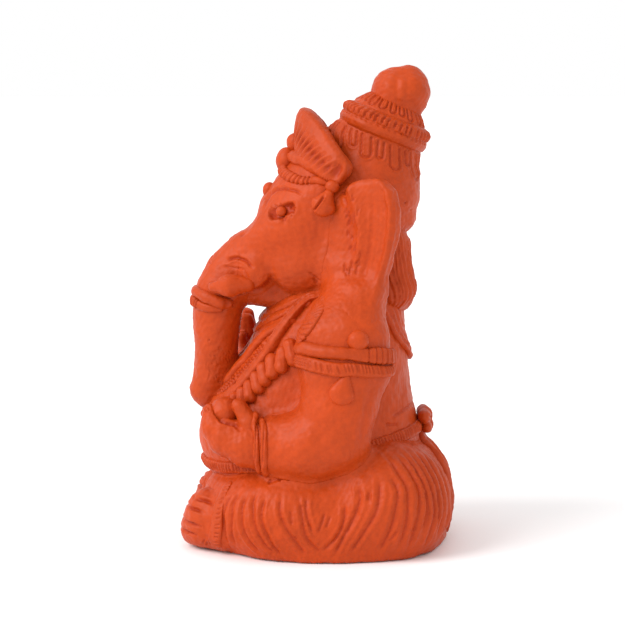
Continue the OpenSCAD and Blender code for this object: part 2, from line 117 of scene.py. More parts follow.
def smooth_min(a, b, k):
    """The smaller of two fields, with a fillet of clay about k wide where they meet."""
    if a is None or b is None:
        return b if a is None else a
    if k <= 0:
        return np.minimum(a, b)
    h = np.maximum(k - np.abs(a - b), 0) / k
    return np.minimum(a, b) - h * h * k / 4


def smooth_max(a, b, k):
    return -smooth_min(-a, -b, k)


def bone(g, a, ra, b=None, rb=None, mirror=False):
    """Distance to an ellipsoid of radii ra at a, stretched to one of radii rb at b."""
    a, ra = np.array(a, np.float32), np.array(ra, np.float32)
    b = a if b is None else np.array(b, np.float32)
    rb = ra if rb is None else np.array(rb, np.float32)
    reach = np.maximum(ra, rb) + MARGIN
    low, high = np.minimum(a, b) - reach, np.maximum(a, b) + reach
    if mirror:
        low[0], high[0] = -high[0], high[0]
    if np.any(low > g.hi) or np.any(high < g.lo):
        return None
    x = np.abs(g.x) if mirror else g.x
    p = (x - a[0], g.y - a[1], g.z - a[2])
    ab = b - a
    if ab @ ab > 0:
        t = np.clip((p[0] * ab[0] + p[1] * ab[1] + p[2] * ab[2]) / (ab @ ab), 0, 1)
        p = [p[i] - t * ab[i] for i in range(3)]
        r = [ra[i] + t * (rb[i] - ra[i]) for i in range(3)]
    else:
        r = ra
    q = [p[i] / r[i] for i in range(3)]
    k0 = np.sqrt(q[0] ** 2 + q[1] ** 2 + q[2] ** 2)
    k1 = np.sqrt((q[0] / r[0]) ** 2 + (q[1] / r[1]) ** 2 + (q[2] / r[2]) ** 2)
    return k0 * (k0 - 1) / np.maximum(k1, 1e-4)


def chain(g, knots, k=1.5, mirror=False):
    """Smooth union of the stretches between consecutive knots, [centre, radii] each."""
    d = None
    for (a, ra), (b, rb) in zip(knots, knots[1:]):
        d = smooth_min(d, bone(g, a, ra, b, rb, mirror), k)
    return d


def lumps(g, knots, k, mirror=False):
    """Smooth union of ellipsoids, [centre, radii] each."""
    d = None
    for a, ra in knots:
        d = smooth_min(d, bone(g, a, ra, mirror=mirror), k)
    return d


def curve(points, step):
    """Points about step apart on a smooth curve through the given ones. Numbers past the third ride along."""
    p = np.array(points, float)
    if len(p) == 2:
        p = np.array([p[0], (p[0] + p[1]) / 2, p[1]])
    ends = np.vstack([2 * p[0] - p[1], p, 2 * p[-1] - p[-2]])
    out = []
    for a, b, c, d in zip(ends, ends[1:], ends[2:], ends[3:]):
        for t in np.linspace(0, 1, 16, endpoint=False):
            out.append(0.5 * (2 * b + (c - a) * t + (2 * a - 5 * b + 4 * c - d) * t * t
                              + (3 * b - a - 3 * c + d) * t ** 3))
    out = np.array(out + [p[-1]])
    run = run_along(out[:, :3])
    at = np.linspace(0, run[-1], max(int(run[-1] / step), 2) + 1)
    return np.stack([np.interp(at, run, out[:, i]) for i in range(out.shape[1])], 1)


# -------- the body masses

# Torso sections: height, centre along Y, half width, half depth
TORSO = curve([[22, -3, 30, 34], [31, -4, 35.5, 41.2], [38, -3.5, 37, 44.8], [45, -3, 37, 46.5],
    [52, -2.5, 36, 45], [60, -1, 34, 41.5], [70, 1, 33, 38], [80, 4, 33, 34], [90, 5.2, 32, 29.8],
    [100, 8.6, 27, 25.6], [108, 11, 20, 21], [114, 12, 14, 15]], 0.5)
HOLLOW_R, HOLLOW_H = 36.5, 81.0


def torso_field(g):
    if g.lo[2] > 114 + MARGIN or g.hi[2] < 22 - MARGIN:
        return None
    cy, hx, hy = (np.interp(g.z, TORSO[:, 0], TORSO[:, i]).astype(np.float32) for i in (1, 2, 3))
    qx, qy = g.x / hx, (g.y - cy) / hy
    k0 = np.sqrt(qx ** 2 + qy ** 2)
    k1 = np.sqrt((qx / hx) ** 2 + (qy / hy) ** 2)
    d = k0 * (k0 - 1) / np.maximum(k1, 1e-4)
    d = smooth_max(d * 0.96, g.z - 113, 3)
    return smooth_max(d, 22 - g.z, 3)


def lap_field(g):
    d = lumps(g, [([27, -9, 16], [24, 34, 21.5]), ([24, 26, 20], [27, 29.6, 27]),
        ([0, -18, 12], [34, 27, 17]), ([10, -36, 22.2], [17, 10.6, 9.4])], 7, mirror=True)
    d = smooth_min(d, bone(g, [0, 30, 21], [30, 25.6, 25.5]), 7)
    if d is None:
        return None
    foot = smooth_max(np.sqrt((g.x / 49) ** 2 + ((g.y - 5.5) / 49.6) ** 2) * 49 - 49 + 0 * g.z, g.z - 16, 6)
    d = smooth_min(d, foot, 6)
    return smooth_max(d, -g.z, 2.0)


def head_field(g):
    d = lumps(g, [([0, 4, 143], [24, 23, 22]), ([0, -8, 131], [22, 20.5, 17]),
        ([0, -22, 121.5], [14, 15, 12]), ([0, 4, 119], [23.5, 18, 15])], 9, mirror=True)
    notch = bone(g, [0, -33.6, 139.4], [20, 9, 9])         # hollow where the trunk leaves the brow
    if d is not None and notch is not None:
        d = smooth_max(d, -notch, 4)
    jowls = bone(g, [11.4, -7.4, 115.6], [9.6, 10.6, 9.8], mirror=True)
    cheeks = bone(g, [12, -25, 114.4], [5.8, 7, 7.4], mirror=True)
    d = smooth_min(smooth_min(d, jowls, 7), cheeks, 3)
    lip_and_chin = bone(g, [0, -24, 106], [8.5, 8, 7], [0, -15, 104.5], [11, 8, 7])
    return smooth_min(d, lip_and_chin, 4)


# The crown stands on an axis that leans back, through the middle of its ring
RING_AT = np.array([0, 27, 171])
CROWN_UP = np.array([0, 0.375, 0.927])
CROWN_BACK = np.array([0, 0.927, -0.375])


def crown_frame(p):
    """Angle round the crown, 0 at the left side and 90 degrees at the back; radius; height above the ring."""
    q = [p[i] - RING_AT[i] for i in range(3)]
    back = q[1] * CROWN_BACK[1] + q[2] * CROWN_BACK[2]
    return np.arctan2(back, q[0]), np.hypot(q[0], back), q[1] * CROWN_UP[1] + q[2] * CROWN_UP[2]


def crown_field(g):
    d = chain(g, [([0, 25, 136], [17, 16.2, 8.6]), ([0, 22, 149], [21.5, 21, 19]),
        ([0, 25.5, 162], [17, 16, 12])], 6)
    if d is None:
        return None
    _angle, radius, height = crown_frame((g.x, g.y, g.z))
    neck = smooth_max(smooth_max(radius - 17, height - 0.6, 2), -12 - height, 2)
    d = smooth_min(d, neck, 4)
    return smooth_min(d, bone(g, [0, 14.5, 168], [13, 11.5, 9.6]), 4)


# Trunk: centre, half width, and half depth, which is its half height too
TRUNK = [[0, -20, 119.5, 12, 12.5], [0, -31, 115.2, 11.5, 11.6], [0, -38.4, 107.5, 11.2, 10.9],
    [0, -41.4, 97, 10.7, 10], [0, -42.2, 83, 9.6, 8.8], [0, -43.1, 72, 8.8, 7.9],
    [0.6, -45.6, 63.5, 7.8, 7.8]]


def trunk_field(g):
    path = curve(TRUNK, 6)
    return chain(g, [(p[:3], [p[3], p[4], p[4]]) for p in path], 2)


# Ear outline: height, then where its front fold and its back edge lie along Y
EAR = np.array([[96, 9, 22], [102, 11, 24.8], [109, 12.6, 26.6], [117, 15.6, 28.6], [125, 18.4, 31],
    [134, 19.6, 32.8], [143, 17.6, 33.2], [150, 15.4, 32], [156, 14, 28]])
EAR_AT, EAR_OUT = np.array([32.6, 22, 126]), np.array([0.57, 0.8217, 0])


def ear_field(g):
    """Upright flap that leaves the head outwards and backwards, with a fold in front and a dished face."""
    if g.lo[2] > 156 + MARGIN or g.hi[2] < 90 - MARGIN:
        return None
    x, y, z = np.abs(g.x) - EAR_AT[0], g.y - EAR_AT[1], g.z - EAR_AT[2]
    u = x * EAR_OUT[0] + y * EAR_OUT[1] + 0 * z
    w = x * EAR_OUT[1] - y * EAR_OUT[0] + 0 * z
    fold, back = (np.interp(g.z, EAR[:, 0], (EAR[:, i] - EAR_AT[1]) / EAR_OUT[1]).astype(np.float32)
        for i in (1, 2))
    front = fold - 9 + 0.5 * np.clip(g.z - 139, 0, 16)
    outline = smooth_max(u - back, front - u, 5)
    outline = smooth_max(outline, g.z - 154.8 + 0.02 * (u - 2) ** 2, 6)
    outline = smooth_max(outline, 92 - g.z, 8)
    past = u - fold
    middle = past / np.maximum(back - fold, 4)
    dish = 1.9 * np.clip(1 - (2 * middle - 1.1) ** 2, 0, 1) * np.clip((g.z - 100) / 22, 0, 1)
    ridge = 0.7 * np.exp(-(past / 3) ** 2) * np.clip((g.z - 112) / 20, 0, 1)
    lean = -0.9 * np.sin(z / 14) - 0.8 * middle
    rim = 0.8 * np.exp(-((u - back + 2.4) / 1.5) ** 2) * np.clip((g.z - 104) / 14, 0, 1)
    half = 3.9 - 0.5 * dish + 0.5 * ridge + rim
    half = half + 0.3 * np.clip(past, -9, 0) + 0.12 * np.clip(112 - g.z, 0, 20)
    d = smooth_max(outline, np.abs(w + lean + 0.5 * dish - 0.5 * ridge) - half, 3.2)
    d = smooth_min(d, bone(g, [21.5, 12.6, 137], [5, 6.4, 9], [22, 12.5, 122], [5.5, 7, 9], mirror=True), 7)
    d = smooth_min(d, bone(g, [24, 12, 114], [6, 7, 8], [29, 10, 101], [9, 9, 6], mirror=True), 7)
    return smooth_min(d, bone(g, [33.5, 17.5, 106], [6.5, 8, 7], [37, 14.5, 95], [9.6, 12.5, 7],
        mirror=True), 8)


LEFT_ARM = [([29, 13, 100], [10, 13, 9]), ([36, 11.5, 90], [12, 17, 12]), ([38, 11.5, 77], [12, 17.3, 12]),
    ([38.5, 9, 62], [12, 14.6, 12]), ([38, 6.5, 49], [12, 13.8, 13]), ([38, -4, 46], [11, 12, 13]),
    ([36, -17, 45.5], [9, 8, 12])]
RIGHT_ARM = LEFT_ARM[:4] + [([38, 5, 49], [12, 14, 12]), ([38, -12, 52], [10, 10, 11]),
    ([37, -27, 62], [7.5, 7.5, 8])]
LEFT_HAND = [([36, -19, 46], [8, 8, 11.5]), ([34.5, -29, 46.4], [8.2, 7.5, 8.8]),
    ([32.5, -37.4, 49.4], [7.4, 6.4, 7.4]), ([31, -42.4, 53.6], [5.6, 4.6, 5.4]),
    ([30, -43.6, 58.4], [4.6, 3.3, 3.7])]
LEFT_THUMB = [([35.8, -25, 50], [4.4, 4.2, 4.4]), ([36, -27.4, 55.6], [4, 3.7, 3.8]),
    ([34.6, -31.6, 62.2], [3.6, 3.4, 3.3])]
RIGHT_PALM = [([36, -28, 68], [7.5, 6.5, 6]), ([35.5, -30.4, 79], [8, 5.4, 7.6])]
FINGERS = [[([29.9 + 3.8 * i, -30, 83], [2.3, 4.2, 3]), ([29.7 + 3.9 * i, -30.8, 91.6 - 1.4 * abs(i - 1.4)],
    [2, 3.5, 2.4])] for i in range(4)]
RIGHT_THUMB = [([30, -30, 73], [3, 3, 3.5]), ([26.5, -32.5, 82], [2.4, 2.4, 2.6])]
FOOT = [([25, -37, 12.7], [13, 9, 13.3]), ([20, -45.3, 12.2], [12, 9.2, 12.4]),
    ([16, -50.7, 8], [10.4, 6, 7.9])]
SWEET_AT, SWEET_R = mid("sweet_ball") + [1.4, -0.8, 1.2], 5.8


def other_side(knots):
    return [([-a[0], a[1], a[2]], r) for a, r in knots]


def right_hand_field(g):
    d = chain(g, other_side(RIGHT_PALM), 1)
    for finger in FINGERS:
        d = smooth_min(d, chain(g, other_side(finger), 0), 0.9)
    return d


def hair_field(g):
    d = chain(g, [([9.5, 28.6, 126], [10.5, 9.6, 9]), ([8.4, 31.2, 107.5], [10.6, 9.6, 8]),
        ([4.5, 32.6, 101.4], [7, 5.8, 4.2])], 4, mirror=True)
    return smooth_min(d, bone(g, [0, 29.4, 124], [8, 10, 8], [0, 32.8, 103.6], [7, 7.8, 5.6]), 5)


def side_only(field, side):
    """One of a pair of mirrored masses."""

    def half(g):
        d = field(g)
        return None if d is None else np.where(g.x * side > 0, d, FAR).astype(np.float32)
    return half


def foot_field(side, back):
    """Three lumps from heel to toes, flat below; back sets the foot back from the one beside it."""
    knots = [([side * at[0], at[1] + back, at[2]], size) for at, size in FOOT]

    def field(g):
        d = chain(g, knots, 2)
        return None if d is None else smooth_max(smooth_max(d, -g.z, 2), 3 - side * g.x, 2)
    return field


# name: (field, how wide the clay is smoothed onto what is already there)
MASSES = {
    "lap": (lap_field, 0),
    "torso": (torso_field, 2.5),
    "crown_body": (crown_field, 3),
    "head": (head_field, 4),
    "trunk": (trunk_field, 4),
    "left_ear": (side_only(ear_field, 1), 6),
    "right_ear": (side_only(ear_field, -1), 6),
    "left_arm": (lambda g: chain(g, LEFT_ARM, 5), 5),
    "right_arm": (lambda g: chain(g, other_side(RIGHT_ARM), 5), 5),
    "hair_locks": (hair_field, 1.5),
    "left_hand": (lambda g: chain(g, LEFT_HAND, 3), 2.5),
    "left_thumb": (lambda g: chain(g, LEFT_THUMB, 2), 0.8),
    "right_hand": (right_hand_field, 2),
    "right_thumb": (lambda g: chain(g, other_side(RIGHT_THUMB), 2), 1),
    "sweet_ball": (lambda g: bone(g, SWEET_AT, [SWEET_R] * 3), 0.6),
    "left_foot": (foot_field(1, 0), 1.5),
    "right_foot": (foot_field(-1, 2.6), 1.5),
}


def skin(g, names=None):
    """The figure's surface as one field, and the field of each mass."""
    whole, each = None, {}
    for name, (field, k) in MASSES.items():
        if names is not None and name not in names:
            continue
        d = field(g)
        if d is None:
            continue
        each[name] = d
        whole = smooth_min(whole, d, k)
    if whole is None:
        whole = np.full(g.shape, FAR, np.float32)
    return whole, each


def hollow_field(g):
    r = HOLLOW_R * np.clip(1 - (np.maximum(g.z, 0) / HOLLOW_H) ** 2, 0, 1) ** 0.8
    return np.maximum(np.sqrt(g.x ** 2 + g.y ** 2) - r, g.z - HOLLOW_H)


# -------- meshes

def surface(g, d):
    """Points and quads where a field on a grid is zero."""
    band = 3 * g.step
    volume = openvdb.FloatGrid(band)
    volume.copyFromArray(np.ascontiguousarray(np.clip(np.broadcast_to(d, g.shape), -band, band), np.float32))
    points, quads = volume.convertToQuads(0.0)
    return g.lo + points.astype(float) * g.step, quads.astype(np.int64)


class Clay:
    """A mesh under the modeller's hands, in millimetres, with a mark of how deep each point was cut; the
    material paints shade into the cuts from that mark.
    """

    def __init__(self, name, points, faces):
        self.name, self.p, self.f = name, points, faces
        self.cut = np.zeros(len(points))
        self.turn()

    def turn(self):
        """Work out the normals again."""
        a, b, c, d = (self.p[self.f[:, i]] for i in range(4))
        n = np.cross(c - a, d - b)
        self.n = unit(np.stack([sum(np.bincount(self.f[:, i], n[:, j], len(self.p)) for i in range(4))
            for j in range(3)], 1))
        return self

    def push(self, amount):
        self.p = self.p + self.n * amount[:, None]

    def rough(self, amount, wave=9.0, seed=0):
        """Uneven hand-worked surface: a sum of waves in scattered directions, the same each run."""
        r = np.random.default_rng(seed + sum(map(ord, self.name.split("_")[-1])))
        total = np.zeros(len(self.p))
        for octave in range(3):
            size = wave / 2.3 ** octave
            for _ in range(7):
                way = r.normal(size=3)
                way *= 2 * math.pi / size / np.linalg.norm(way) * r.uniform(0.7, 1.4)
                total += np.sin(self.p @ way + r.uniform(0, 6.28)) * amount / 2.6 / 2.0 ** octave
        self.push(total)
        return self


def stroke_distance(uv, path):
    """Distance of each point from a polyline, and how far along it the nearest point lies, 0 to 1."""
    best, along = np.full(len(uv), 1e9), np.zeros(len(uv))
    run = run_along(path)
    for i, (a, b) in enumerate(zip(path, path[1:])):
        ab = b - a
        t = np.clip(((uv - a) @ ab) / max(ab @ ab, 1e-9), 0, 1)
        d = np.linalg.norm(uv - a - t[:, None] * ab, axis=1)
        near = d < best
        best[near] = d[near]
        along[near] = (run[i] + t * (run[i + 1] - run[i]))[near] / max(run[-1], 1e-9)
    return best, along


def press(clay, uv, strokes, width, depth, where=None, lip=0.18, fade=0.15, sharp=1.0):
    """Press strokes, polylines in the flat coordinates uv, into the clay. A negative depth raises a ridge."""
    move = np.zeros(len(clay.p))
    where = np.ones(len(clay.p), bool) if where is None else where
    index = np.nonzero(where)[0]
    flat = uv[index]
    reach = width * (2.2 if lip else 1.0)
    for path in strokes:
        path = np.asarray(path, float)
        near = np.all((flat > path.min(0) - reach) & (flat < path.max(0) + reach), axis=1)
        if not near.any():
            continue
        d, t = stroke_distance(flat[near], path)
        d = d / width
        ends = np.clip(np.minimum(t, 1 - t) / max(fade, 1e-6), 0.25 if fade else 1, 1)
        groove = np.clip(1 - d ** 2, 0, 1) ** (1.5 * sharp)
        ridge = np.clip(1 - ((d - 1.45) / 0.7) ** 2, 0, 1) ** 2
        amount = (-groove + lip * ridge) * depth * ends
        spot = index[near]
        deeper = np.abs(amount) > np.abs(move[spot])
        move[spot[deeper]] = amount[deeper]
    clay.push(move)
    # depth of each cut, which the clay material darkens as painted shade
    clay.cut += np.maximum(-move, 0)
    return clay


MATERIALS = {}


def add(name, data):
    """Put a new object into the scene."""
    thing = bpy.data.objects.new(name, data)
    bpy.context.scene.collection.objects.link(thing)
    return thing


def quad_mesh(name, points, faces):
    mesh = bpy.data.meshes.new(name)
    mesh.vertices.add(len(points))
    mesh.vertices.foreach_set("co", points.astype(np.float32).ravel())
    mesh.loops.add(faces.size)
    mesh.loops.foreach_set("vertex_index", faces.astype(np.int32).ravel())
    mesh.polygons.add(len(faces))
    mesh.polygons.foreach_set("loop_start", np.arange(0, faces.size, 4, dtype=np.int32))
    mesh.polygons.foreach_set("loop_total", np.full(len(faces), 4, np.int32))
    mesh.polygons.foreach_set("use_smooth", np.ones(len(faces), bool))
    return mesh


def finish_piece(clay, slot="clay"):
    """Make the Blender object of a piece, which rides the frame's one body and stands for its CAD node."""
    mesh = quad_mesh(clay.name, clay.p * MM, clay.f)
    # cut depth for the material, which paints shade into the cuts with it
    cut = mesh.attributes.new("cut", "FLOAT", "POINT")
    cut.data.foreach_set("value", np.clip(clay.cut, 0, 2).astype(np.float32))
    mesh.update(calc_edges=True)
    mesh.validate()
    mesh.materials.append(MATERIALS[slot])
    piece = add(clay.name + "_clay", mesh)
    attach(piece, "root")
    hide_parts(clay.name)


BODY_LO = np.array(cad_box[0]) / MM - 4
BODY_HI = np.array(cad_box[1]) / MM + 4
COARSE = 3.0       # voxel of the sample that finds where a mass lies


def mass_box(name):
    """Bounds of one mass, found from a coarse sample of its own field."""
    coarse = Grid(BODY_LO, BODY_HI, COARSE)
    d = MASSES[name][0](coarse)
    inside = np.argwhere(np.broadcast_to(d, coarse.shape) < 2.6)
    return coarse.lo + (inside.min(0) - 1) * COARSE, coarse.lo + (inside.max(0) + 1) * COARSE


def mass(name, voxel):
    """One body mass, cut out of the common skin. Past its border it dives under its neighbours."""
    g = Grid(*mass_box(name), voxel)
    field, each = skin(g)
    own = each.pop(name)
    others = None
    for d in each.values():
        others = smooth_min(others, d, 0)
    if others is not None:
        field = field + 0.7 * np.maximum(own - others, 0)
    if name in ("lap", "torso"):
        field = smooth_max(field, -hollow_field(g), 1.5)
    if name in ("lap", "left_foot", "right_foot"):
        field = np.maximum(field, -g.z)
    return Clay(name, *surface(g, field))


# -------- strips, rolls and beads

PROBE = 0.3        # step that the slope of the skin is measured over
WALK = 0.9         # distance between the points of a strip's line


def skin_change(points, names):
    """The skin's field at points, and how it changes over a short step along X, Y and Z."""
    value = skin(Points(points), names)[0]
    return value, np.stack([skin(Points(points + way), names)[0] - value for way in np.eye(3) * PROBE], 1)


def on_skin(points, names, sink=0.0):
    """Move points along the slope of the field until they lie on the skin, or sunk below it."""
    p = np.array(points, float)
    for _ in range(4):
        value, change = skin_change(p, names)
        slope = change / PROBE
        slope /= np.maximum(np.linalg.norm(slope, axis=1), 0.5)[:, None] ** 2
        p -= slope * np.clip(value + sink, -4, 4)[:, None]
    return p


class Strip:
    """A roll or strip of clay laid along a line on the skin.

    path holds [x, y, z, half width, height]; power 2 gives a round roll, 4 a flat strip.
    """

    def __init__(self, name, path, on, power=2.0, closed=False, snap=True):
        if closed:
            path = path + path[:1]
        line = curve(path, WALK)
        if snap:
            line[:, :3] = on_skin(line[:, :3], on)
            line = curve(line[::3] if len(line) > 9 else line, WALK)
        g, pad = self.lay(line)
        dist, half, high = self.near(g, pad)
        skin_d = skin(g, on)[0]
        across = np.sqrt(np.maximum(dist ** 2 - skin_d ** 2, 0))
        shape = ((across / half) ** power + (np.abs(skin_d) / high) ** power) ** (1 / power)
        self.clay = Clay(name, *surface(g, (shape - 1) * np.minimum(half, high)))
        self.side = unit(np.cross(np.gradient(self.at, axis=0), unit(skin_change(self.at, on)[1])))
        i, off, along = self.measure(self.clay.p)
        self.uv = np.stack([along, (off * self.side[i]).sum(1)], 1)

    def lay(self, line):
        """Take over the line, and give a grid with room for the strip round it."""
        self.line, self.at, self.run = line, line[:, :3], run_along(line[:, :3])
        self.length = self.run[-1]
        self.tangent = unit(np.gradient(self.at, axis=0))
        pad = line[:, 3:5].max() + 1.5
        return Grid(self.at.min(0) - pad, self.at.max(0) + pad, FINER), pad

    def near(self, g, pad):
        """Distance from the line, and the strip's half width and height there, on a grid."""
        dist = np.full(g.shape, FAR, np.float32)
        half, high = np.ones(g.shape, np.float32), np.ones(g.shape, np.float32)
        for a, b in zip(self.line, self.line[1:]):
            lo = np.maximum(((np.minimum(a[:3], b[:3]) - pad - g.lo) / g.step).astype(int), 0)
            hi = ((np.maximum(a[:3], b[:3]) + pad - g.lo) / g.step).astype(int) + 2
            box = tuple(slice(l, h) for l, h in zip(lo, hi))
            x, y, z = g.x[box[0]], g.y[:, box[1]], g.z[:, :, box[2]]
            ab = (b - a)[:3]
            along = (x - a[0]) * ab[0] + (y - a[1]) * ab[1] + (z - a[2]) * ab[2]
            t = np.clip(along / max(ab @ ab, TINY), 0, 1)
            d = np.sqrt((x - a[0] - t * ab[0]) ** 2 + (y - a[1] - t * ab[1]) ** 2
                        + (z - a[2] - t * ab[2]) ** 2)
            near = d < dist[box]
            dist[box] = np.where(near, d, dist[box])
            half[box] = np.where(near, a[3] + t * (b[3] - a[3]), half[box])
            high[box] = np.where(near, a[4] + t * (b[4] - a[4]), high[box])
        return dist, half, high

    def measure(self, p):
        """The nearest point of the line to every point, the way from it, and the distance along the line."""
        nearest = [((p[s:s + 4000, None] - self.at) ** 2).sum(2).argmin(1) for s in range(0, len(p), 4000)]
        i = np.concatenate(nearest)
        off = p - self.at[i]
        return i, off, self.run[i] + (off * self.tangent[i]).sum(1)

    def hatch(self, pitch, slant, reach, width=0.45, depth=0.5, start=0.0, stop=None, uneven=0.2):
        """Row of short cuts across the strip."""
        at = np.arange(start + pitch / 2, self.length if stop is None else stop, pitch)
        at = at + rng.uniform(-uneven, uneven, len(at)) * pitch
        low, high = reach
        cuts = [[[s - slant / 2, low], [s + slant / 2, high]] for s in at]
        press(self.clay, self.uv, cuts, width, depth, lip=0.25, fade=0.12)
        self.clay.turn()


class Ribbon(Strip):
    """A band swept along a line in space.

    path holds [x, y, z, half height, half thickness, up x, up y, up z].
    """

    def __init__(self, name, path, power, shape):
        line = curve(path, WALK)
        line[:, 5:] = unit(line[:, 5:])
        g, pad = self.lay(line)
        self.side = unit(np.cross(self.tangent, line[:, 5:]))
        p = np.stack(np.broadcast_arrays(g.x, g.y, g.z), -1).reshape(-1, 3)
        field = np.full(len(p), FAR, np.float32)
        close = np.zeros(len(p), bool)
        for a in self.at[::2]:
            close |= ((p - a) ** 2).sum(1) < (pad + 1) ** 2
        s, v, w, beyond, half, thick = self.local(p[close])
        half, thick = shape(v, half, thick)
        d = (np.abs(v) / half) ** power + (np.abs(w) / thick) ** power + (beyond / thick) ** power
        d = d ** (1 / power)
        field[close] = (d - 1) * np.minimum(half, thick)
        self.clay = Clay(name, *surface(g, field.reshape(g.shape)))
        s, v, self.w = self.local(self.clay.p)[:3]
        self.uv = np.stack([s, v], 1)

    def local(self, p):
        """For every point: how far along, up and out of the ribbon and past its ends, and its half sizes."""
        i, off, along = self.measure(p)
        past = (off * self.tangent[i]).sum(1)
        last = len(self.line) - 1
        ends = np.where(i == 0, np.maximum(-past, 0), np.where(i == last, np.maximum(past, 0), 0))
        return (along, (off * self.line[i, 5:]).sum(1), (off * self.side[i]).sum(1), ends,
                self.line[i, 3], self.line[i, 4])


def other_half(clay, name):
    """The same piece on the other side of the body."""
    twin = Clay(name, clay.p * [-1, 1, 1], clay.f[:, ::-1])
    twin.cut = clay.cut.copy()
    return twin


def outline_distance(r, h, polygon):
    """Signed distance from a closed polygon in the flat."""
    best = np.full(r.shape, FAR, np.float32)
    inside = np.zeros(r.shape, bool)
    for (ar, ah), (br, bh) in zip(polygon, polygon[1:] + polygon[:1]):
        er, eh = br - ar, bh - ah
        t = np.clip(((r - ar) * er + (h - ah) * eh) / (er * er + eh * eh), 0, 1)
        best = np.minimum(best, np.hypot(r - ar - t * er, h - ah - t * eh))
        if eh:
            inside ^= ((ah > h) != (bh > h)) & (r < ar + (h - ah) / eh * er)
    return np.where(inside, -best, best)


def crown_lathe(name, polygon, waves):
    """A turned piece of the crown from its half outline, [radius, height] points, rounded off by 0.5."""
    r_max = max(r for r, _ in polygon) + 2
    g = Grid(RING_AT - [r_max, r_max + 4, r_max], RING_AT + [r_max, r_max + 4, r_max + 6], FINER)
    angle, radius, height = crown_frame((g.x, g.y, g.z))
    return Clay(name, *surface(g, outline_distance(radius - waves(angle), height, polygon) - 0.5))


def crown_uv(clay, radius):
    """Flat coordinates unrolled from the crown: round it and up it."""
    angle, _r, height = crown_frame(clay.p.T)
    return np.stack([angle * radius, height], 1)


def loop(centre, half_w, top, bottom, lean=0.0):
    """Outline of a hanging petal: down one side, round the end and up the other."""
    turn = np.linspace(math.pi, 2 * math.pi, 7)
    foot = bottom + half_w
    path = [[centre - half_w - lean, top]]
    path += [[centre + half_w * math.cos(t), foot + half_w * math.sin(t)] for t in turn]
    return path + [[centre + half_w - lean, top]]


def join(name, parts):
    """Several bits of clay as one piece."""
    points, faces, cut, base = [], [], [], 0
    for part in parts:
        points.append(part.p)
        faces.append(part.f + base)
        cut.append(part.cut)
        base += len(part.p)
    clay = Clay(name, np.vstack(points), np.vstack(faces))
    clay.cut = np.concatenate(cut)
    return clay


def blob(name, knots, k=1.0, extra=None):
    """Small lump of clay from stretched ellipsoids."""
    centres = np.array([a for a, _ in knots])
    pad = max(max(r) for _, r in knots) + 1.5
    g = Grid(centres.min(0) - pad, centres.max(0) + pad, FINER)
    d = chain(g, knots, k) if len(knots) > 1 else bone(g, *knots[0])
    if extra is not None:
        d = extra(g, d)
    return Clay(name, *surface(g, d))


def facing(clay, side=1, least=0.15):
    """The points of a piece that face one side and lie on it."""
    return (clay.n[:, 0] * side > least) & (clay.p[:, 0] * side > 0)


# -------- materials

WHITE, BLACK = (1, 1, 1), (0, 0, 0)


class Shader:
    """The node tree of one material."""

    def __init__(self, name):
        self.material = bpy.data.materials.new(name)
        self.material.use_nodes = True
        self.nodes, self.links = self.material.node_tree.nodes, self.material.node_tree.links
        self.nodes.clear()
        self.place = self.node("TexCoord", {}).outputs["Object"]

    def node(self, kind, inputs, **settings):
        """New node. Each input given is linked to a socket, or set to a number or a colour."""
        node = self.nodes.new("ShaderNode" + kind)
        for key, value in settings.items():
            setattr(node, key, value)
        for key, value in inputs.items():
            if isinstance(value, bpy.types.NodeSocket):
                self.links.new(value, node.inputs[key])
            else:
                node.inputs[key].default_value = (*value, 1) if isinstance(value, tuple) else value
        return node

    def noise(self, scale, detail, rough=0.55):
        inputs = {"Vector": self.place, "Scale": scale, "Detail": detail, "Roughness": rough}
        return self.node("TexNoise", inputs).outputs[0]

    def ramp(self, source, *stops):
        """Colours along a value, (value, colour) each."""
        node = self.node("ValToRGB", {0: source})
        while len(node.color_ramp.elements) < len(stops):
            node.color_ramp.elements.new(0.5)
        for element, (at, colour) in zip(node.color_ramp.elements, stops):
            element.position, element.color = at, (*colour, 1)
        return node.outputs[0]

    def mix(self, kind, factor, a, b):
        return self.node("Mix", {0: factor, 6: a, 7: b}, data_type="RGBA", blend_type=kind).outputs[2]


def clay_colour(s, base, groove):
    """Mottled, finely speckled and smudged, with painted shade darkening the cuts."""
    mottle = s.ramp(s.noise(38, 5), (0.3, base * 0.9), (0.55, base), (0.75, base * 1.07))
    fine = s.ramp(s.noise(420, 3), (0.35, (0.93, 0.92, 0.92)), (0.65, (1.04, 1.04, 1.04)))
    smudge = s.ramp(s.noise(16, 3, 0.7), (0.66, BLACK), (0.8, WHITE))
    amount = s.node("Math", {0: smudge, 1: 0.11}, operation="MULTIPLY").outputs[0]
    clay = s.mix("MIX", amount, s.mix("MULTIPLY", 1.0, mottle, fine), tuple(base * 0.45))
    cut = s.node("Attribute", {}, attribute_name="cut").outputs["Fac"]
    # painted shade: the deeper a cut, the more the colour goes over to the groove colour
    return s.mix("MIX", s.ramp(cut, (0.15, BLACK), (1, (0.5, 0.5, 0.5))), clay, groove)


def clay_bumps(s):
    """Scattered pits, fine grain and hand-worked waves, one bump on another."""
    pits = s.node("TexVoronoi", {"Vector": s.place, "Scale": 260}).outputs["Distance"]
    sparse = s.ramp(s.noise(60, 2), (0.56, BLACK), (0.64, WHITE))
    pitted = s.mix("MIX", sparse, WHITE, s.ramp(pits, (0.06, BLACK), (0.16, WHITE)))
    bump = {}
    for source, strength, metres in ((pitted, 0.35, 0.0004), (s.noise(900, 2), 0.10, 0.0003),
            (s.noise(150, 5, 0.6), 0.22, 0.0008)):
        node = s.node("Bump", {"Strength": strength, "Distance": metres, "Height": source, **bump})
        bump = {"Normal": node.outputs[0]}
    return bump


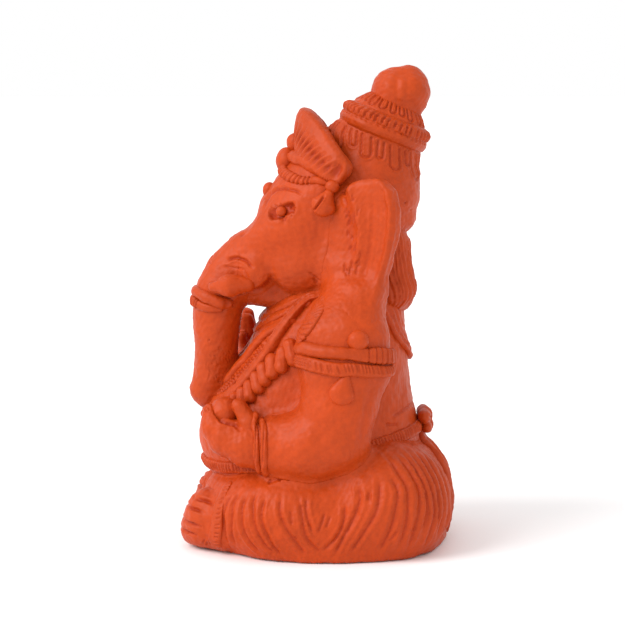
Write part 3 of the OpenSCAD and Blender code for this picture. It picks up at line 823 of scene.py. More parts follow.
def clay_material(name, colour, groove):
    """Unglazed fired clay."""
    s = Shader(name)
    inputs = {"Specular IOR Level": 0.2, "Base Color": clay_colour(s, np.array(colour), groove),
        **clay_bumps(s), "Roughness": s.node("MapRange", {0: s.noise(90, 4), 3: 0.40, 4: 0.54}).outputs[0]}
    s.node("OutputMaterial", {0: s.node("BsdfPrincipled", inputs).outputs[0]})
    return s.material


CLAY_COLOUR = (0.466, 0.049, 0.0038)
RUBBED = 0.97      # how light the clay of rolls and strips is against the rest
# The last colour of each is the painted shade laid into the cuts.
MATERIALS["clay"] = clay_material("clay", CLAY_COLOUR, (0.32, 0.019, 0.003))
MATERIALS["clay_rubbed"] = clay_material("clay_rubbed", np.array(CLAY_COLOUR) * RUBBED, (0.31, 0.018, 0.003))


# -------- camera, floor and light

VIEW_TILT = math.radians(7.5)       # how far the photograph looks down
VIEW_RANGE = 900 * MM
VIEW_AT = np.array([0, -1.7, 96]) * MM
LENS, SENSOR = 123.4, 36            # millimetres of the camera
FLOOR_HALF = 6.0                    # metres
FLOOR_GAP = 0.0002                  # metres below the figure, clear of its underside
SUN_WAY = Vector((-0.4, 0.76, -0.64))
SUN_WIDTH = math.radians(38)


def camera():
    data = bpy.data.cameras.new("camera")
    data.lens, data.sensor_width = LENS, SENSOR
    data.clip_start, data.clip_end = 0.05, 20
    seat = add("camera", data)
    seat.location = VIEW_AT + VIEW_RANGE * np.array([math.cos(VIEW_TILT), 0, math.sin(VIEW_TILT)])
    seat.rotation_euler = (math.pi / 2 - VIEW_TILT, 0, math.pi / 2)
    bpy.context.scene.camera = seat


def floor():
    """Plain pale paper to stand on."""
    mesh = bpy.data.meshes.new("floor")
    s = FLOOR_HALF
    mesh.from_pydata([(-s, -s, 0), (s, -s, 0), (s, s, 0), (-s, s, 0)], [], [(0, 1, 2, 3)])
    paper = bpy.data.materials.new("paper")
    paper.use_nodes = True
    look = paper.node_tree.nodes["Principled BSDF"].inputs
    look["Base Color"].default_value = (0.97, 0.97, 0.97, 1)
    look["Roughness"].default_value = 0.9
    mesh.materials.append(paper)
    ground = add("floor", mesh)
    ground.location.z = cad_box[0].z - FLOOR_GAP


def light():
    """White surroundings, and one wide soft sun."""
    world = bpy.data.worlds.new("studio")
    world.use_nodes = True
    background = world.node_tree.nodes["Background"].inputs
    background[0].default_value = (1, 1, 1, 1)
    background[1].default_value = 1.0
    bpy.context.scene.world = world
    bpy.context.scene.view_settings.view_transform = "Standard"
    sun = bpy.data.lights.new("key", "SUN")
    sun.energy, sun.angle = 2.1, SUN_WIDTH
    add("key", sun).rotation_euler = SUN_WAY.to_track_quat("-Z", "Y").to_euler()


camera()
floor()
light()


# -------- marks on the body masses

def one_side(clay, side, marks, width, depth, least=0.15, **more):
    """Press strokes, [y, z] points, into one side of a piece."""
    press(clay, clay.p[:, 1:3], marks, width, depth, facing(clay, side, least), **more)


def sides(clay, *stroke, **more):
    """Press the same strokes into both sides of a mass."""
    for side in (1, -1):
        one_side(clay, side, *stroke, **more)


def side_of(clay):
    return 1 if clay.p[:, 0].mean() > 0 else -1


def bend(paths):
    """Flat strokes drawn as smooth curves."""
    return [curve([[u, v, 0] for u, v in path], 2.0)[:, :2] for path in paths]


FACE_MARKS = [   # strokes, half width, depth
    ([[[-21.4, 141], [-20.6, 144], [-19, 146.6], [-16.6, 148.6], [-13, 149.3], [-8.5, 148.6], [-5.4, 147]]],
     0.75, 0.9),
    ([[[-37.2, 118.6], [-35, 120], [-32.9, 120.4], [-29, 119.4], [-26.2, 116.8]]], 0.85, 1.2),
    ([[[-38.5, 116.8], [-34.6, 116.2], [-29.2, 116]]], 0.6, 0.6),
    ([[[-29.6, 115.4], [-28.2, 112.2]]], 0.8, 0.4),
    ([[[-18.3, 113], [-19.6, 110.6], [-23.7, 107.2], [-28, 106.6]]], 1.3, 1.2),
    ([[[-33, 105.2], [-28.4, 106.4]]], 0.9, 1.4),
    ([[[-3.4, 115.6], [-0.6, 113.6], [1.4, 111.6]], [[-1.4, 113], [0.4, 110.4]]], 0.6, 0.6),
    ([[[3.2, 118], [4, 112], [3.6, 106]], [[6.4, 121], [6.6, 113]]], 0.8, 0.6),
    ([[[-31.6, 129], [-30, 130.2]], [[-45.4, 119], [-43.6, 120.4]], [[-44.8, 117.4], [-44, 117.8]]],
     0.7, 0.5),
]
EYE = [[-17.6, 138.9], [-15.2, 139.8], [-12.8, 140.8], [-11, 141.8]]


def face(clay):
    for strokes, width, depth in FACE_MARKS:
        sides(clay, strokes, width, depth, least=0.02)
    sides(clay, [EYE], 2.3, 1.9, sharp=0.35, lip=0.1, fade=0)
    r = np.random.default_rng(31)
    crumbs = []
    for a in np.arange(0, 6.28, 0.5):
        y = -14.3 + 4.6 * math.cos(a) + r.uniform(-0.5, 0.5)
        z = 140 + 2.4 * math.sin(a) + 0.3 * math.cos(a)
        crumbs.append([[y, z], [-14.3 + 5.2 * math.cos(a + 0.2), 140.1 + 2.9 * math.sin(a + 0.2)]])
    sides(clay, crumbs, 0.6, 0.7, lip=0.2)
    sides(clay, [[[-11, 142], [-9.4, 143.6]], [[-17.4, 138.4], [-18.9, 137]], [[-14, 138], [-13, 136.4]]],
        1.1, 1.0)


def turned(clay, degrees_z, radius=50.0):
    """Strokes given as [degrees round the body, height]; clay coordinates to match, left and right alike."""
    angle = np.degrees(np.arctan2(clay.p[:, 1], np.abs(clay.p[:, 0])))
    scale = radius * math.pi / 180
    flat = np.stack([angle * scale, clay.p[:, 2]], 1)
    return flat, [[[a * scale, z] for a, z in path] for path in degrees_z]


PLEATS = [
    [[-42, 27], [-44, 20], [-44, 12], [-46, 4]],
    [[-38, 27.7], [-39.5, 23.9], [-38.8, 19.4], [-39.2, 14], [-40.5, 5]],
    [[-33.4, 27.5], [-34.3, 23.4], [-33.7, 19.1], [-32.8, 12.8], [-30.5, 7.5], [-26.8, 3]],
    [[-28.8, 29], [-29.6, 25.2], [-28.5, 20.5], [-26.9, 14.4], [-24.1, 8.1], [-19.2, 2.8]],
    [[-24.3, 27.5], [-24.8, 23.3], [-24.4, 18.8], [-22.8, 13.6], [-20.1, 7.1], [-16.2, 2]],
    [[-17, 27.5], [-16.6, 22.1], [-14.9, 17.7], [-12.1, 13], [-8.5, 8], [-5, 3.4]],
    [[-8.3, 26.3], [-6.7, 21], [-4.4, 11], [2.7, 4.2]],
    [[-4.8, 27.4], [-4.9, 22.2], [-2.1, 13.4]],
    [[13.4, 25], [12.6, 18.3], [9.7, 12], [2.7, 5.5]],
    [[19.7, 33], [19.3, 25.7], [16.4, 18.4], [11.8, 10.7], [7.7, 3]],
    [[28.4, 35], [26.8, 27.9], [24.7, 21.2], [20.8, 13.2], [15.4, 4]],
    [[33, 36], [33.9, 30.1], [32.4, 23.5], [30.8, 16], [28.2, 4.2]],
    [[35.6, 43.5], [36.6, 37.3], [37.9, 31.8], [37.1, 25.3], [36.2, 16], [35, 6]],
    [[40.3, 43.5], [42, 35.4], [42.6, 29.4], [41.5, 22.9], [40.1, 14.7], [39.6, 4.4]],
    [[44.5, 43], [45, 34], [45.4, 24], [44, 12]],
    [[48.4, 43.6], [47.9, 36.4], [48.3, 28.7], [48.6, 21.9], [48, 11.5], [48, 4]],
    [[53, 43.4], [51.6, 35], [51.4, 26], [50.8, 14]],
    [[58, 43], [55.4, 35.3], [54.6, 26.5], [53.9, 18.5], [54.1, 8]],
    [[63, 42.5], [60.4, 33], [59.4, 22], [59.6, 8]],
    [[69, 42], [66, 31], [65, 20], [65.4, 6]],
    [[75, 41], [71.6, 30], [70.6, 18], [71, 6]],
]
PLEAT_NICKS = [[[-11.9, 22.4], [-11, 16.4]], [[4.1, 21.4], [0.6, 13.4]], [[6.6, 20], [4.2, 15]],
    [[33, 14], [31, 9]], [[-10, 12], [-9, 10.6]], [[23.5, 30], [22.8, 26]]]


def pleats(clay):
    flat, paths = turned(clay, PLEATS)
    outside = np.abs(clay.p[:, 0]) > 6
    paths = bend(paths)
    press(clay, flat, paths, 1.25, 0.45, outside, lip=0.7, fade=0.12)
    press(clay, flat, paths, 0.5, 0.4, outside, lip=0, fade=0.1)
    press(clay, flat, turned(clay, PLEAT_NICKS)[1], 0.8, 0.6, outside)


CRACK = [[-20.3, 32.4], [-17, 33.2], [-14.7, 34.1], [-11.6, 34.5], [-9, 35.6], [-5, 36.4], [0, 37.4],
    [6, 38.6], [11, 40.4]]


def lap_marks(clay):
    """Crack where the skirt meets the body, with chips along it."""
    sides(clay, [CRACK], 1.0, 0.9, least=-0.2, lip=0.1)
    for _ in range(26):
        y = rng.uniform(-20, 2)
        z = np.interp(y, *np.transpose(CRACK))
        chip = [[y, z + rng.uniform(-1, 0.8)], [y + rng.uniform(0.3, 1.2), z + rng.uniform(-1, 0.8)]]
        sides(clay, [chip], 0.55, 0.7, least=-0.2)


TOE_SLITS = [[[-54.6, 18.4], [-50, 18.4], [-46.4, 17.4]], [[-56.4, 12.6], [-52, 12.4], [-47.6, 11.4]],
    [[-57, 8.2], [-52, 7.9], [-49.6, 7.3]], [[-50.6, 22], [-46, 22], [-42, 20.8]]]


def foot_marks(clay):
    sides(clay, TOE_SLITS, 0.85, 1.5, least=-0.4, lip=0.15, fade=0.3)
    sides(clay, [[[-47, 3.4], [-46, 6]], [[-45.4, 3], [-45, 5]], [[-43.6, 4], [-43.6, 5.4]]], 0.5, 0.5,
        least=-0.4)


TRENCH = [[12, 152], [13, 143], [14, 132], [14, 124], [12.6, 116]]


def ear_marks(clay):
    side = side_of(clay)
    r = np.random.default_rng(11)
    gouges = []
    for _ in range(30):
        z = r.uniform(117, 150)
        y = np.interp(z, [104, 118, 132, 143, 152], [11, 14.6, 15.6, 14.8, 13.8]) + r.uniform(-3.4, 2.4)
        gouges.append([[y, z], [y + r.uniform(-0.9, 0.5), z - r.uniform(1.5, 4.5)]])
    one_side(clay, side, gouges, 0.6, 0.5, 0.0, lip=0.35)
    one_side(clay, side, [TRENCH], 3.4, 0.45, 0.0, lip=0.2, fade=0.3)
    draws = [[[22, 151], [22.6, 140], [21.5, 126], [18, 112]],
        [[26.5, 150], [27.4, 138], [25.4, 122], [21, 108]], [[30.4, 148], [30.6, 136], [28.6, 124]],
        [[31.8, 147], [32, 135], [29.6, 121], [26.4, 110]]]
    one_side(clay, side, bend(draws), 1.1, 0.28, 0.0, lip=0.4)


def trench(clay):
    """Rough hollow between the cheek and the ear."""
    sides(clay, [TRENCH], 3.4, 0.45, least=-0.3, fade=0.3)
    r = np.random.default_rng(5)
    nicks = []
    for _ in range(60):
        z = r.uniform(110, 151)
        y = np.interp(z, [112, 124, 132, 143, 152], [11.2, 13.4, 14, 13.4, 12.6]) + r.uniform(-2.2, 1.8)
        nicks.append([[y, z], [y + r.uniform(-0.8, 0.8), z - r.uniform(0.8, 3.2)]])
    sides(clay, nicks, 0.6, 0.75, least=-0.3, lip=0.3)


def trunk_marks(clay):
    """Fine pricks down the front of the trunk."""
    r = np.random.default_rng(3)
    nicks = []
    for _ in range(46):
        y, z = r.uniform(-46, -36), r.uniform(66, 84)
        nicks.append([[y, z], [y + r.uniform(-0.5, 0.9), z - r.uniform(0.2, 1.4)]])
    sides(clay, nicks, 0.4, 0.3, lip=0.5)
    sides(clay, [[[-44.8, 86], [-44.7, 85.4]]], 0.6, 0.9)


# Petals: half width, height of the lower end
PETALS = [[2.1, -10.8], [1.3, -7.4], [2.4, -11.8], [1.5, -8.4], [2.2, -10.6], [1.3, -8.8]]
HAIR_RADIUS = 17.5


def crown_marks(clay):
    """Hanging petals under the ring, and combed hair below the dome at the back."""
    flat = crown_uv(clay, HAIR_RADIUS)
    r = np.random.default_rng(21)
    loops = []
    for i in range(18):
        at = math.radians(-95 + 20 * i + r.uniform(-3, 3)) * HAIR_RADIUS
        half_w, low = PETALS[i % len(PETALS)]
        loops.append(loop(at, half_w, -2.6, low + r.uniform(-0.8, 0.8), r.uniform(1.2, 2.8)))
    whole_turn = math.radians(360) * HAIR_RADIUS
    loops += [[[u - whole_turn, v] for u, v in path] for path in loops]
    press(clay, flat, loops, 0.65, 0.62, clay.p[:, 2] > 150, lip=0.5, fade=0)
    comb(clay, 134, 4)
    sides(clay, [[[38.6, 140.2], [38.7, 139.8]], [[36.5, 143.6], [36.7, 143.2]]], 0.8, 0.9, least=-0.4)


def comb(clay, top, soft):
    """Long combed locks on the back of the head, drawn together towards the nape."""
    r = np.random.default_rng(17)
    angle = np.degrees(np.arctan2(clay.p[:, 0], np.maximum(clay.p[:, 1] - 20, 0.1)))
    flat = np.stack([angle * 0.32, clay.p[:, 2]], 1)
    lines = []
    for n in range(44):
        a = -86 + 4 * n + r.uniform(-1, 1)
        low = r.uniform(93, 104)
        lines.append([[a * 0.32, top + r.uniform(-soft, 1)], [a * 0.31, 118 + r.uniform(-4, 4)],
            [a * 0.25, low]])
    press(clay, flat, bend(lines), 0.55, 0.42, clay.p[:, 1] > 21, lip=0.35, fade=0.2)


def hand_marks(clay):
    """A small ring pressed into the knuckle, and the crevice below the fingers."""
    turn = np.linspace(0, 2 * math.pi, 14)
    ring = [[-44.6 + 0.9 * math.cos(a), 60.6 + 0.9 * math.sin(a)] for a in turn]
    one_side(clay, 1, [ring], 0.45, 0.4, 0.1, fade=0)
    crevice = [[-42, 61.6], [-41, 59.4], [-39, 56.8], [-36, 55.8], [-33, 55.2], [-31.2, 53.4]]
    one_side(clay, 1, [crevice], 0.9, 1.3, -0.2, lip=0.15)


def right_hand_marks(clay):
    """Fine lines across the fingers and a crease over the palm."""
    lines = [[[-26.5, z], [-44.5, z + 0.6]] for z in (84.6, 89.4)] + [[[-28, 78], [-34, 75.6], [-43, 76.4]]]
    press(clay, clay.p[:, [0, 2]], lines, 0.5, 0.4, clay.n[:, 1] < -0.1)


def arm_marks(clay):
    lines = [[[22.5, 74], [19, 60], [17, 46]], [[-6.8, 80], [-6, 66]]]
    one_side(clay, side_of(clay), bend(lines), 1.8, 0.35, 0, lip=0.4)


def torso_marks(clay):
    sides(clay, [[[31, 55.6], [36, 57.4], [41, 58.8]], [[28, 53], [34, 52.2]]], 0.9, 0.7, least=-0.3)


MARKS = {"head": (face, trench), "trunk": (face, trunk_marks), "lap": (pleats, lap_marks),
    "torso": (torso_marks,), "left_foot": (foot_marks,), "right_foot": (foot_marks,),
    "left_ear": (ear_marks,), "right_ear": (ear_marks,), "crown_body": (crown_marks,),
    "hair_locks": (lambda clay: comb(clay, 131, 2),), "left_hand": (hand_marks,),
    "right_hand": (right_hand_marks,), "left_arm": (arm_marks,), "right_arm": (arm_marks,),}


# -------- crown

def crown():
    r = np.random.default_rng(9)
    flow = [(n, r.uniform(0, 6.28), r.uniform(0.1, 0.3)) for n in (2, 3, 5)]

    def waves(angle):
        return sum(size * np.sin(n * angle + at) for n, at, size in flow)

    crown_ring(r, waves)
    crown_cap(r, waves)
    crown_knob()


def crown_ring(r, waves):
    """Two rolls, one on the other, the upper one nicked all round."""
    ring = crown_lathe("crown_ring", [[8, -1.2], [16.6, -1.2], [18, -0.2], [18.6, 1.4], [18.3, 2.8],
        [17.5, 3.4], [18.5, 4.4], [18.7, 6.0], [17.8, 7.0], [15.6, 8.0], [8, 8.0]], waves)
    flat = crown_uv(ring, 18)
    strokes = []
    for i in range(44):
        u = (math.radians(-180 + 360 / 44 * i) + r.uniform(-0.03, 0.03)) * 18
        low = r.uniform(3.4, 4.6)
        strokes.append([[u + 0.9, 7.8], [u, 6.4], [u + 0.2, low]])
    press(ring, flat, strokes, 0.62, 0.75, lip=0.35)
    dents = [[[math.radians(a) * 18, 3.4 + 0.5 * math.sin(a)], [math.radians(a + 4) * 18, 2.8]]
        for a in range(-180, 180, 8)]
    press(ring, flat, dents, 0.6, 0.35)
    finish_piece(ring.turn().rough(0.12), "clay_rubbed")


def crown_cap(r, waves):
    cap = crown_lathe("crown_cap", [[6, 6.0], [15.0, 7.6], [15.0, 8.8], [13.4, 10.8], [11.6, 12.8],
        [9.8, 14.4], [6, 14.4]], waves)
    loops = []
    for i in range(20):
        u = (math.radians(-180 + 18 * i) + r.uniform(-0.04, 0.04)) * 13
        loops.append(loop(u, r.uniform(1.0, 1.45), 14.2, r.uniform(9.2, 10.6), 0.6))
    press(cap, crown_uv(cap, 13), loops, 0.55, 0.7, lip=0.3, fade=0)
    finish_piece(cap.turn().rough(0.1))


def crown_knob():
    knob = blob("crown_knob", [([0, 32.4, 188], [11.6, 9.8, 10.2]), ([0, 37.6, 188.6], [11.4, 9.7, 10.4])],
        extra=lambda g, d: smooth_min(d, bone(g, [0, 33.4, 181], [10, 9.8, 5.5]), 4))
    knob.rough(0.3, 14)
    one_side(knob, 1, [[[35.2, 195], [35, 190], [34.6, 184]]], 1.6, -0.3, 0, lip=0.4)
    one_side(knob, 1, [[[33.6, 179.9], [34.3, 179.5]]], 0.7, 0.5, 0)
    finish_piece(knob.turn())


# -------- crest, bosses and brow

def both_ways(path):
    """A path from the middle to the left end, carried over to the right end as well."""
    flip = [[-p[0], *p[1:5], *([-p[5], *p[6:]] if len(p) > 5 else [])] for p in path[:0:-1]]
    return flip + [list(p) for p in path]


def crest():
    """Upright band across the brow, cut into leaves in front and pinched at its ends."""
    path = both_ways([[0, -5.8, 173.4, 8.4, 3.6, 0, 0.2, 0.98], [6, -4.9, 172.2, 8.4, 3.6, 0.03, 0.3, 0.95],
        [12, -2.2, 168.8, 8.2, 3.7, 0.06, 0.48, 0.88], [17.4, 1.4, 164, 7.8, 3.8, 0.1, 0.62, 0.78],
        [21.4, 5.4, 160, 7.0, 3.8, 0.14, 0.74, 0.66], [23.6, 9.8, 156.8, 5.4, 3.5, 0.16, 0.8, 0.58]])

    def rim(v, half, thick):
        low = np.clip(0.5 - v / half / 2, 0, 1)
        return half, thick * (1.12 - 0.45 * low)

    band = Ribbon("crest", path, 3.2, rim)
    end = band.length
    foremost = band.clay.p[:, 1].argmin()
    front = band.w * (1 if band.w[foremost] > 0 else -1) > 0
    cuts = []
    r = np.random.default_rng(4)
    for i in range(22):
        t = (i + 0.5) / 22
        s = end * (0.04 + 0.92 * t)
        out = (t - 0.5) * 2
        size = 8.0 - 3.0 * abs(out) ** 2
        high = size * r.uniform(0.2, 0.34)
        cuts.append([[s - 0.9 * out, -size * 0.92], [s + 0.5 * out, high * 0.1], [s + 1.7 * out, high]])
    press(band.clay, band.uv, cuts, 0.9, 1.0, front, lip=0.25, fade=0.45, sharp=0.8)
    beside = [[[p[0][0] + 0.4, p[0][1]], [p[2][0] + 0.5, p[2][1]]] for p in cuts]
    press(band.clay, band.uv, beside, 0.4, 0.4, front, lip=0)
    for s in (0.4, end - 0.4):
        press(band.clay, band.uv, [[[s, -1.6], [s, 0.4]]], 2.3, 1.1, lip=0.3, fade=0)
    finish_piece(band.clay.turn().rough(0.12), "clay_rubbed")


def head_bands():
    on = ["head", "crown_body"]
    roll = Strip("crest_roll", both_ways([[0, -9.4, 164, 4.8, 3.4], [6.5, -7.8, 163.4, 4.9, 3.4],
        [12.4, -3.6, 161.2, 4.6, 3.4], [17.6, 0.6, 158.2, 4.0, 3.1], [20.6, 4.6, 155.5, 3.0, 2.7],
        [22, 7.6, 153, 2.2, 2.1]]), on=on, snap=False)
    press(roll.clay, roll.uv, [[[0, -2.2], [roll.length, -2.2]]], 0.7, 0.4, lip=0.4)
    finish_piece(roll.clay.turn().rough(0.14))

    brow = Strip("brow_band", both_ways([[0, -15.4, 158.6, 2.4, 1.8], [5, -14.8, 157, 2.4, 1.8],
        [9.4, -13, 155, 2.2, 1.8], [16.3, -8.9, 153.2, 2.0, 1.7], [19.4, -4.8, 152.7, 1.8, 1.6],
        [20.8, -0.7, 153.2, 1.7, 1.5], [22, 4.6, 152, 1.6, 1.5]]), on=on, power=2.6)
    middle = brow.length / 2
    brow.hatch(2.1, 1.6, (-3, 3), 0.5, 0.6, 6.5, middle - 3.6)
    brow.hatch(2.1, -1.6, (-3, 3), 0.5, 0.6, middle + 3.6, brow.length - 6.5)
    finish_piece(brow.clay.rough(0.08))


def head_beads():
    bosses = join("crest_bosses", [blob("boss", [([0, -12.6, 159.8], [5.4, 4.4, 5.6])]),
        blob("boss", [([0, -8.9, 167.2], [4.4, 3.6, 4.2])])])
    finish_piece(bosses.turn().rough(0.1))
    bead = blob("forehead_bead", [([0, -19.6, 147.4], [3.3, 3.0, 3.4])])
    finish_piece(bead.rough(0.08))
    bead = blob("temple_bead", [([25.2, 6.3, 150.8], [2.4, 2.8, 2.8])])
    drop = blob("temple_drop", [([25.8, 4.9, 147.8], [2.0, 2, 2]), ([26.8, 3, 143.8], [3.4, 5.1, 5.4])])
    press(drop, drop.p[:, 1:3], [[[3.1, 147.4], [-1.4, 141]]], 0.6, 1.0, lip=0.2, fade=0.1)
    pairs = [(piece.turn(), other_half(piece, piece.name)) for piece in (bead, drop)]
    for word, pieces in zip(("left_", "right_"), zip(*pairs)):
        for piece in pieces:
            piece.name = word + piece.name
            finish_piece(piece.turn().rough(0.07))


# -------- face parts

def twins(clay, slot="clay", rough=0.1):
    """The left piece and its match on the right, each with its side in its name."""
    base = clay.name
    right = other_half(clay, "right_" + base)
    clay.name = "left_" + base
    finish_piece(clay.turn().rough(rough), slot)
    finish_piece(right.turn().rough(rough, seed=1), slot)


def face_parts():
    eye = blob("eye", [([18.6, -14.5, 140.1], [1.9, 2.1, 2.1])])
    twins(eye, rough=0.06)
    tusk = blob("tusk", [([15, -28.6, 109.6], [3.6, 3.4, 3.2]), ([16.2, -36, 109.3], [4.2, 4.4, 4.5]),
        ([13.6, -42.6, 108.6], [2.4, 2.2, 2.2])], 1.5)
    one_side(tusk, 1, [[[-43.5, 110.6], [-40.6, 111.8], [-36.5, 112.6]]], 0.5, 0.25, 0)
    twins(tusk, rough=0.12)


def trunk_bands():
    path = both_ways([[0, -52.6, 105.8, 2.2, 1.9], [6.1, -51.3, 105.4, 2.3, 2.0],
        [10.2, -47.1, 104.2, 2.4, 2.1], [11.6, -43.3, 102.8, 2.5, 2.2], [11.4, -39.4, 101.6, 2.6, 2.2],
        [10.2, -37.4, 101.2, 2.5, 2.1]])
    roll = Strip("trunk_roll", path, on=["trunk"])
    for s in (0, roll.length):
        press(roll.clay, roll.uv, [[[s, -0.9], [s, 0.9]]], 1.9, 0.5, lip=0.3, fade=0)
    finish_piece(roll.clay.turn().rough(0.1), "clay_rubbed")
    path = both_ways([[0, -52.6, 101.6, 2.1, 1.5], [5.9, -51.8, 101.1, 2.1, 1.5],
        [9.5, -48.4, 99.8, 1.9, 1.4], [11.3, -43, 98.9, 1.4, 1.2], [10.9, -39, 98.6, 0.9, 1.0]])
    strip = Strip("trunk_strip", path, on=["trunk"], power=3)
    half = strip.length / 2
    strip.hatch(1.6, 0.2, (-3, 3), 0.45, 0.6, half - 10, half + 10)
    finish_piece(strip.clay.rough(0.08), "clay_rubbed")


# -------- arms and wrists

def armlets():
    on = ["left_arm", "torso"]
    roll = Strip("armlet_roll", [[34, -6.2, 85.6, 2.8, 2.7], [39, -5.6, 86.4, 3.0, 2.9],
        [43.3, -3.9, 87.0, 3.0, 3.0], [47.4, 1.3, 86.5, 2.8, 3.0], [49.6, 8.4, 86.2, 2.7, 2.8],
        [49.8, 13, 85.8, 2.5, 2.6], [49.2, 18, 85.0, 1.9, 2.1]], on=on)
    band = Strip("armlet_band", [[49.8, 13, 85.8, 2.4, 2.0], [48.9, 19, 85.2, 3.0, 2.3],
        [45.6, 25.3, 84.4, 3.3, 2.4], [40.4, 28.9, 83.4, 3.2, 2.4], [35.5, 29.8, 83.2, 2.8, 2.2]], on=on,
        power=5)
    band.hatch(2.6, 0.2, (-4, 4), 0.5, 0.5, 6, band.length)
    twins(join("armlet_roll", [roll.clay, band.clay]), "clay_rubbed")
    strip = Strip("armlet_strip", [[33.6, -6.4, 80.8, 2.9, 2.1], [39, -5.8, 81.4, 3.0, 2.3],
        [45.5, -2.7, 81.3, 3.0, 2.3], [49.3, 3.3, 80.3, 2.9, 2.3], [50.7, 9.2, 79.6, 2.8, 2.2],
        [50.5, 15.2, 79.6, 2.7, 2.0], [49, 21.2, 78.8, 2.6, 1.9], [44.8, 27, 78.0, 2.4, 1.8],
        [39, 29.2, 77.8, 2.2, 1.6]], on=on, power=3.4)
    r = np.random.default_rng(13)
    dots = [[[s, v + r.uniform(-0.2, 0.2)], [s + 0.5, v + 0.2]]
            for s in np.arange(1.5, 14, 1.25) for v in (-1.3, 0.1, 1.4)]
    press(strip.clay, strip.uv, dots, 0.5, 0.4, lip=0.4, fade=0)
    strip.hatch(2.0, 1.5, (-1.5, 1.8), 0.55, 0.45, 13, 27, uneven=0.35)
    strip.hatch(1.4, 0.9, (-2.4, 1.2), 0.45, 0.4, 28, strip.length, uneven=0.35)
    twins(strip.clay, "clay_rubbed")
    twins(blob("armlet_bead", [([48.0, 16.3, 91], [4.2, 4.5, 4.5])]))
    twins(blob("armlet_drop", [([50.4, 12.2, 78], [1.9, 1.4, 1.8]), ([50.6, 10.1, 70.4], [2.6, 5.2, 5.4])]))


def bracelets():
    """Two thin rolls round each wrist; the left forearm lies level there and the right one stands."""
    parts = []
    for y, w in ((-24.6, 1.25), (-21.4, 1.5)):
        path = []
        for a in range(-150, 151, 25):
            c, s = math.cos(math.radians(a)), math.sin(math.radians(a))
            path.append([35.6 + 9.5 * c, y - 1.1 * s + 0.5 * math.sin(a / 23.0), 46 + 11.8 * s, w, 1.4])
        parts.append(Strip("bracelet", path, on=["left_arm", "left_hand", "left_thumb"]).clay)
    wrist = join("left_bracelet", parts)
    one_side(wrist, 1, [[[-24.2, 57], [-24.8, 46], [-25.2, 37]], [[-21, 56], [-21.6, 47], [-22.2, 38]]],
        0.5, 0.5, 0)
    finish_piece(wrist.turn().rough(0.15, 5), "clay_rubbed")
    parts = []
    for z in (62.6, 65.8):
        path = [[-36.8 + 8 * math.cos(a), -28.4 + 7.4 * math.sin(a), z + 0.4 * math.sin(2 * a), 1.4, 1.3]
                for a in np.linspace(0, 2 * math.pi, 12, endpoint=False)]
        parts.append(Strip("bracelet", path, on=["right_arm", "right_hand"], closed=True).clay)
    finish_piece(join("right_bracelet", parts).turn().rough(0.15, 5), "clay_rubbed")


# -------- cloth, strings and garland on the trunk of the body

BODY = ["torso"]


def collar():
    fold = Strip("collar", both_ways([[0, -22.6, 94.4, 3.2, 2.4], [6, -20, 96.4, 3.2, 2.4],
        [11.5, -14.6, 99.8, 3.0, 2.3], [15, -9.6, 102.4, 2.8, 2.2], [17, -5, 105, 2.4, 2.0],
        [18, -1.5, 108, 2.0, 1.8]]), on=BODY)
    under = Strip("collar", both_ways([[0, -26.4, 90.4, 2.2, 1.5], [7, -22.4, 92.8, 2.2, 1.5],
        [14.4, -16, 96.4, 2.2, 1.5], [19.4, -9, 100, 2.0, 1.5], [21.4, -3, 103.4, 1.8, 1.4]]), on=BODY)
    finish_piece(join("collar", [fold.clay, under.clay]).turn().rough(0.16, 6))


def necklace():
    outer = Strip("necklace", both_ways([[0, -38, 65, 2.2, 2.2], [6, -36, 67.4, 2.2, 2.2],
        [9, -32.6, 74.1, 2.2, 2.2], [11, -30.4, 78.6, 2.2, 2.2], [13, -27, 83.4, 2.2, 2.2],
        [16, -22, 88.4, 2.1, 2.1], [19.4, -16.6, 91.8, 2.0, 2.0], [23, -10, 95.6, 1.8, 1.8]]), on=BODY)
    beads = Strip("necklace", both_ways([[0, -40, 60.4, 2.4, 1.7], [8, -37.4, 63, 2.4, 1.7],
        [14, -33, 69.4, 2.4, 1.7], [16.6, -28.4, 75.6, 2.4, 1.7], [18.4, -24, 81.4, 2.2, 1.6],
        [19.4, -20.6, 85, 1.8, 1.4]]), on=BODY, power=3)
    beads.hatch(1.7, 0.5, (-3, 3), 0.6, 0.7)
    press(beads.clay, beads.uv, [[[0, 0.1], [beads.length, 0.1]]], 0.5, 0.4)
    finish_piece(join("necklace", [outer.clay, beads.clay]).turn().rough(0.1, 5))


def sacred_strap():
    strap = Strip("sacred_strap", [[22, 1.0, 107.4, 2.0, 2.6], [20.4, -3.4, 104.6, 2.0, 2.9],
        [21, -7, 100.6, 2.0, 3.2], [22.4, -11, 95, 2.1, 3.3], [23.4, -15, 89.4, 2.2, 3.3],
        [22.8, -20, 82.4, 2.4, 3.2], [21, -26, 74.6, 2.6, 3.0], [18.6, -32, 66.8, 2.7, 2.8],
        [13, -37, 61, 2.7, 2.6], [4, -40.4, 57.4, 2.6, 2.4], [-8, -40.6, 54.8, 2.5, 2.2],
        [-19, -36.6, 52.8, 2.4, 2.0], [-28, -27.4, 51.6, 2.3, 1.8], [-33, -15, 51.6, 2.2, 1.7],
        [-34, -6, 52, 2.2, 1.7]], on=BODY, power=2.6)
    press(strap.clay, strap.uv, [[[0, 0.7], [strap.length * 0.4, 0.5]]], 0.45, 0.35, lip=0.4)
    finish_piece(strap.clay.turn().rough(0.16, 6), "clay_rubbed")


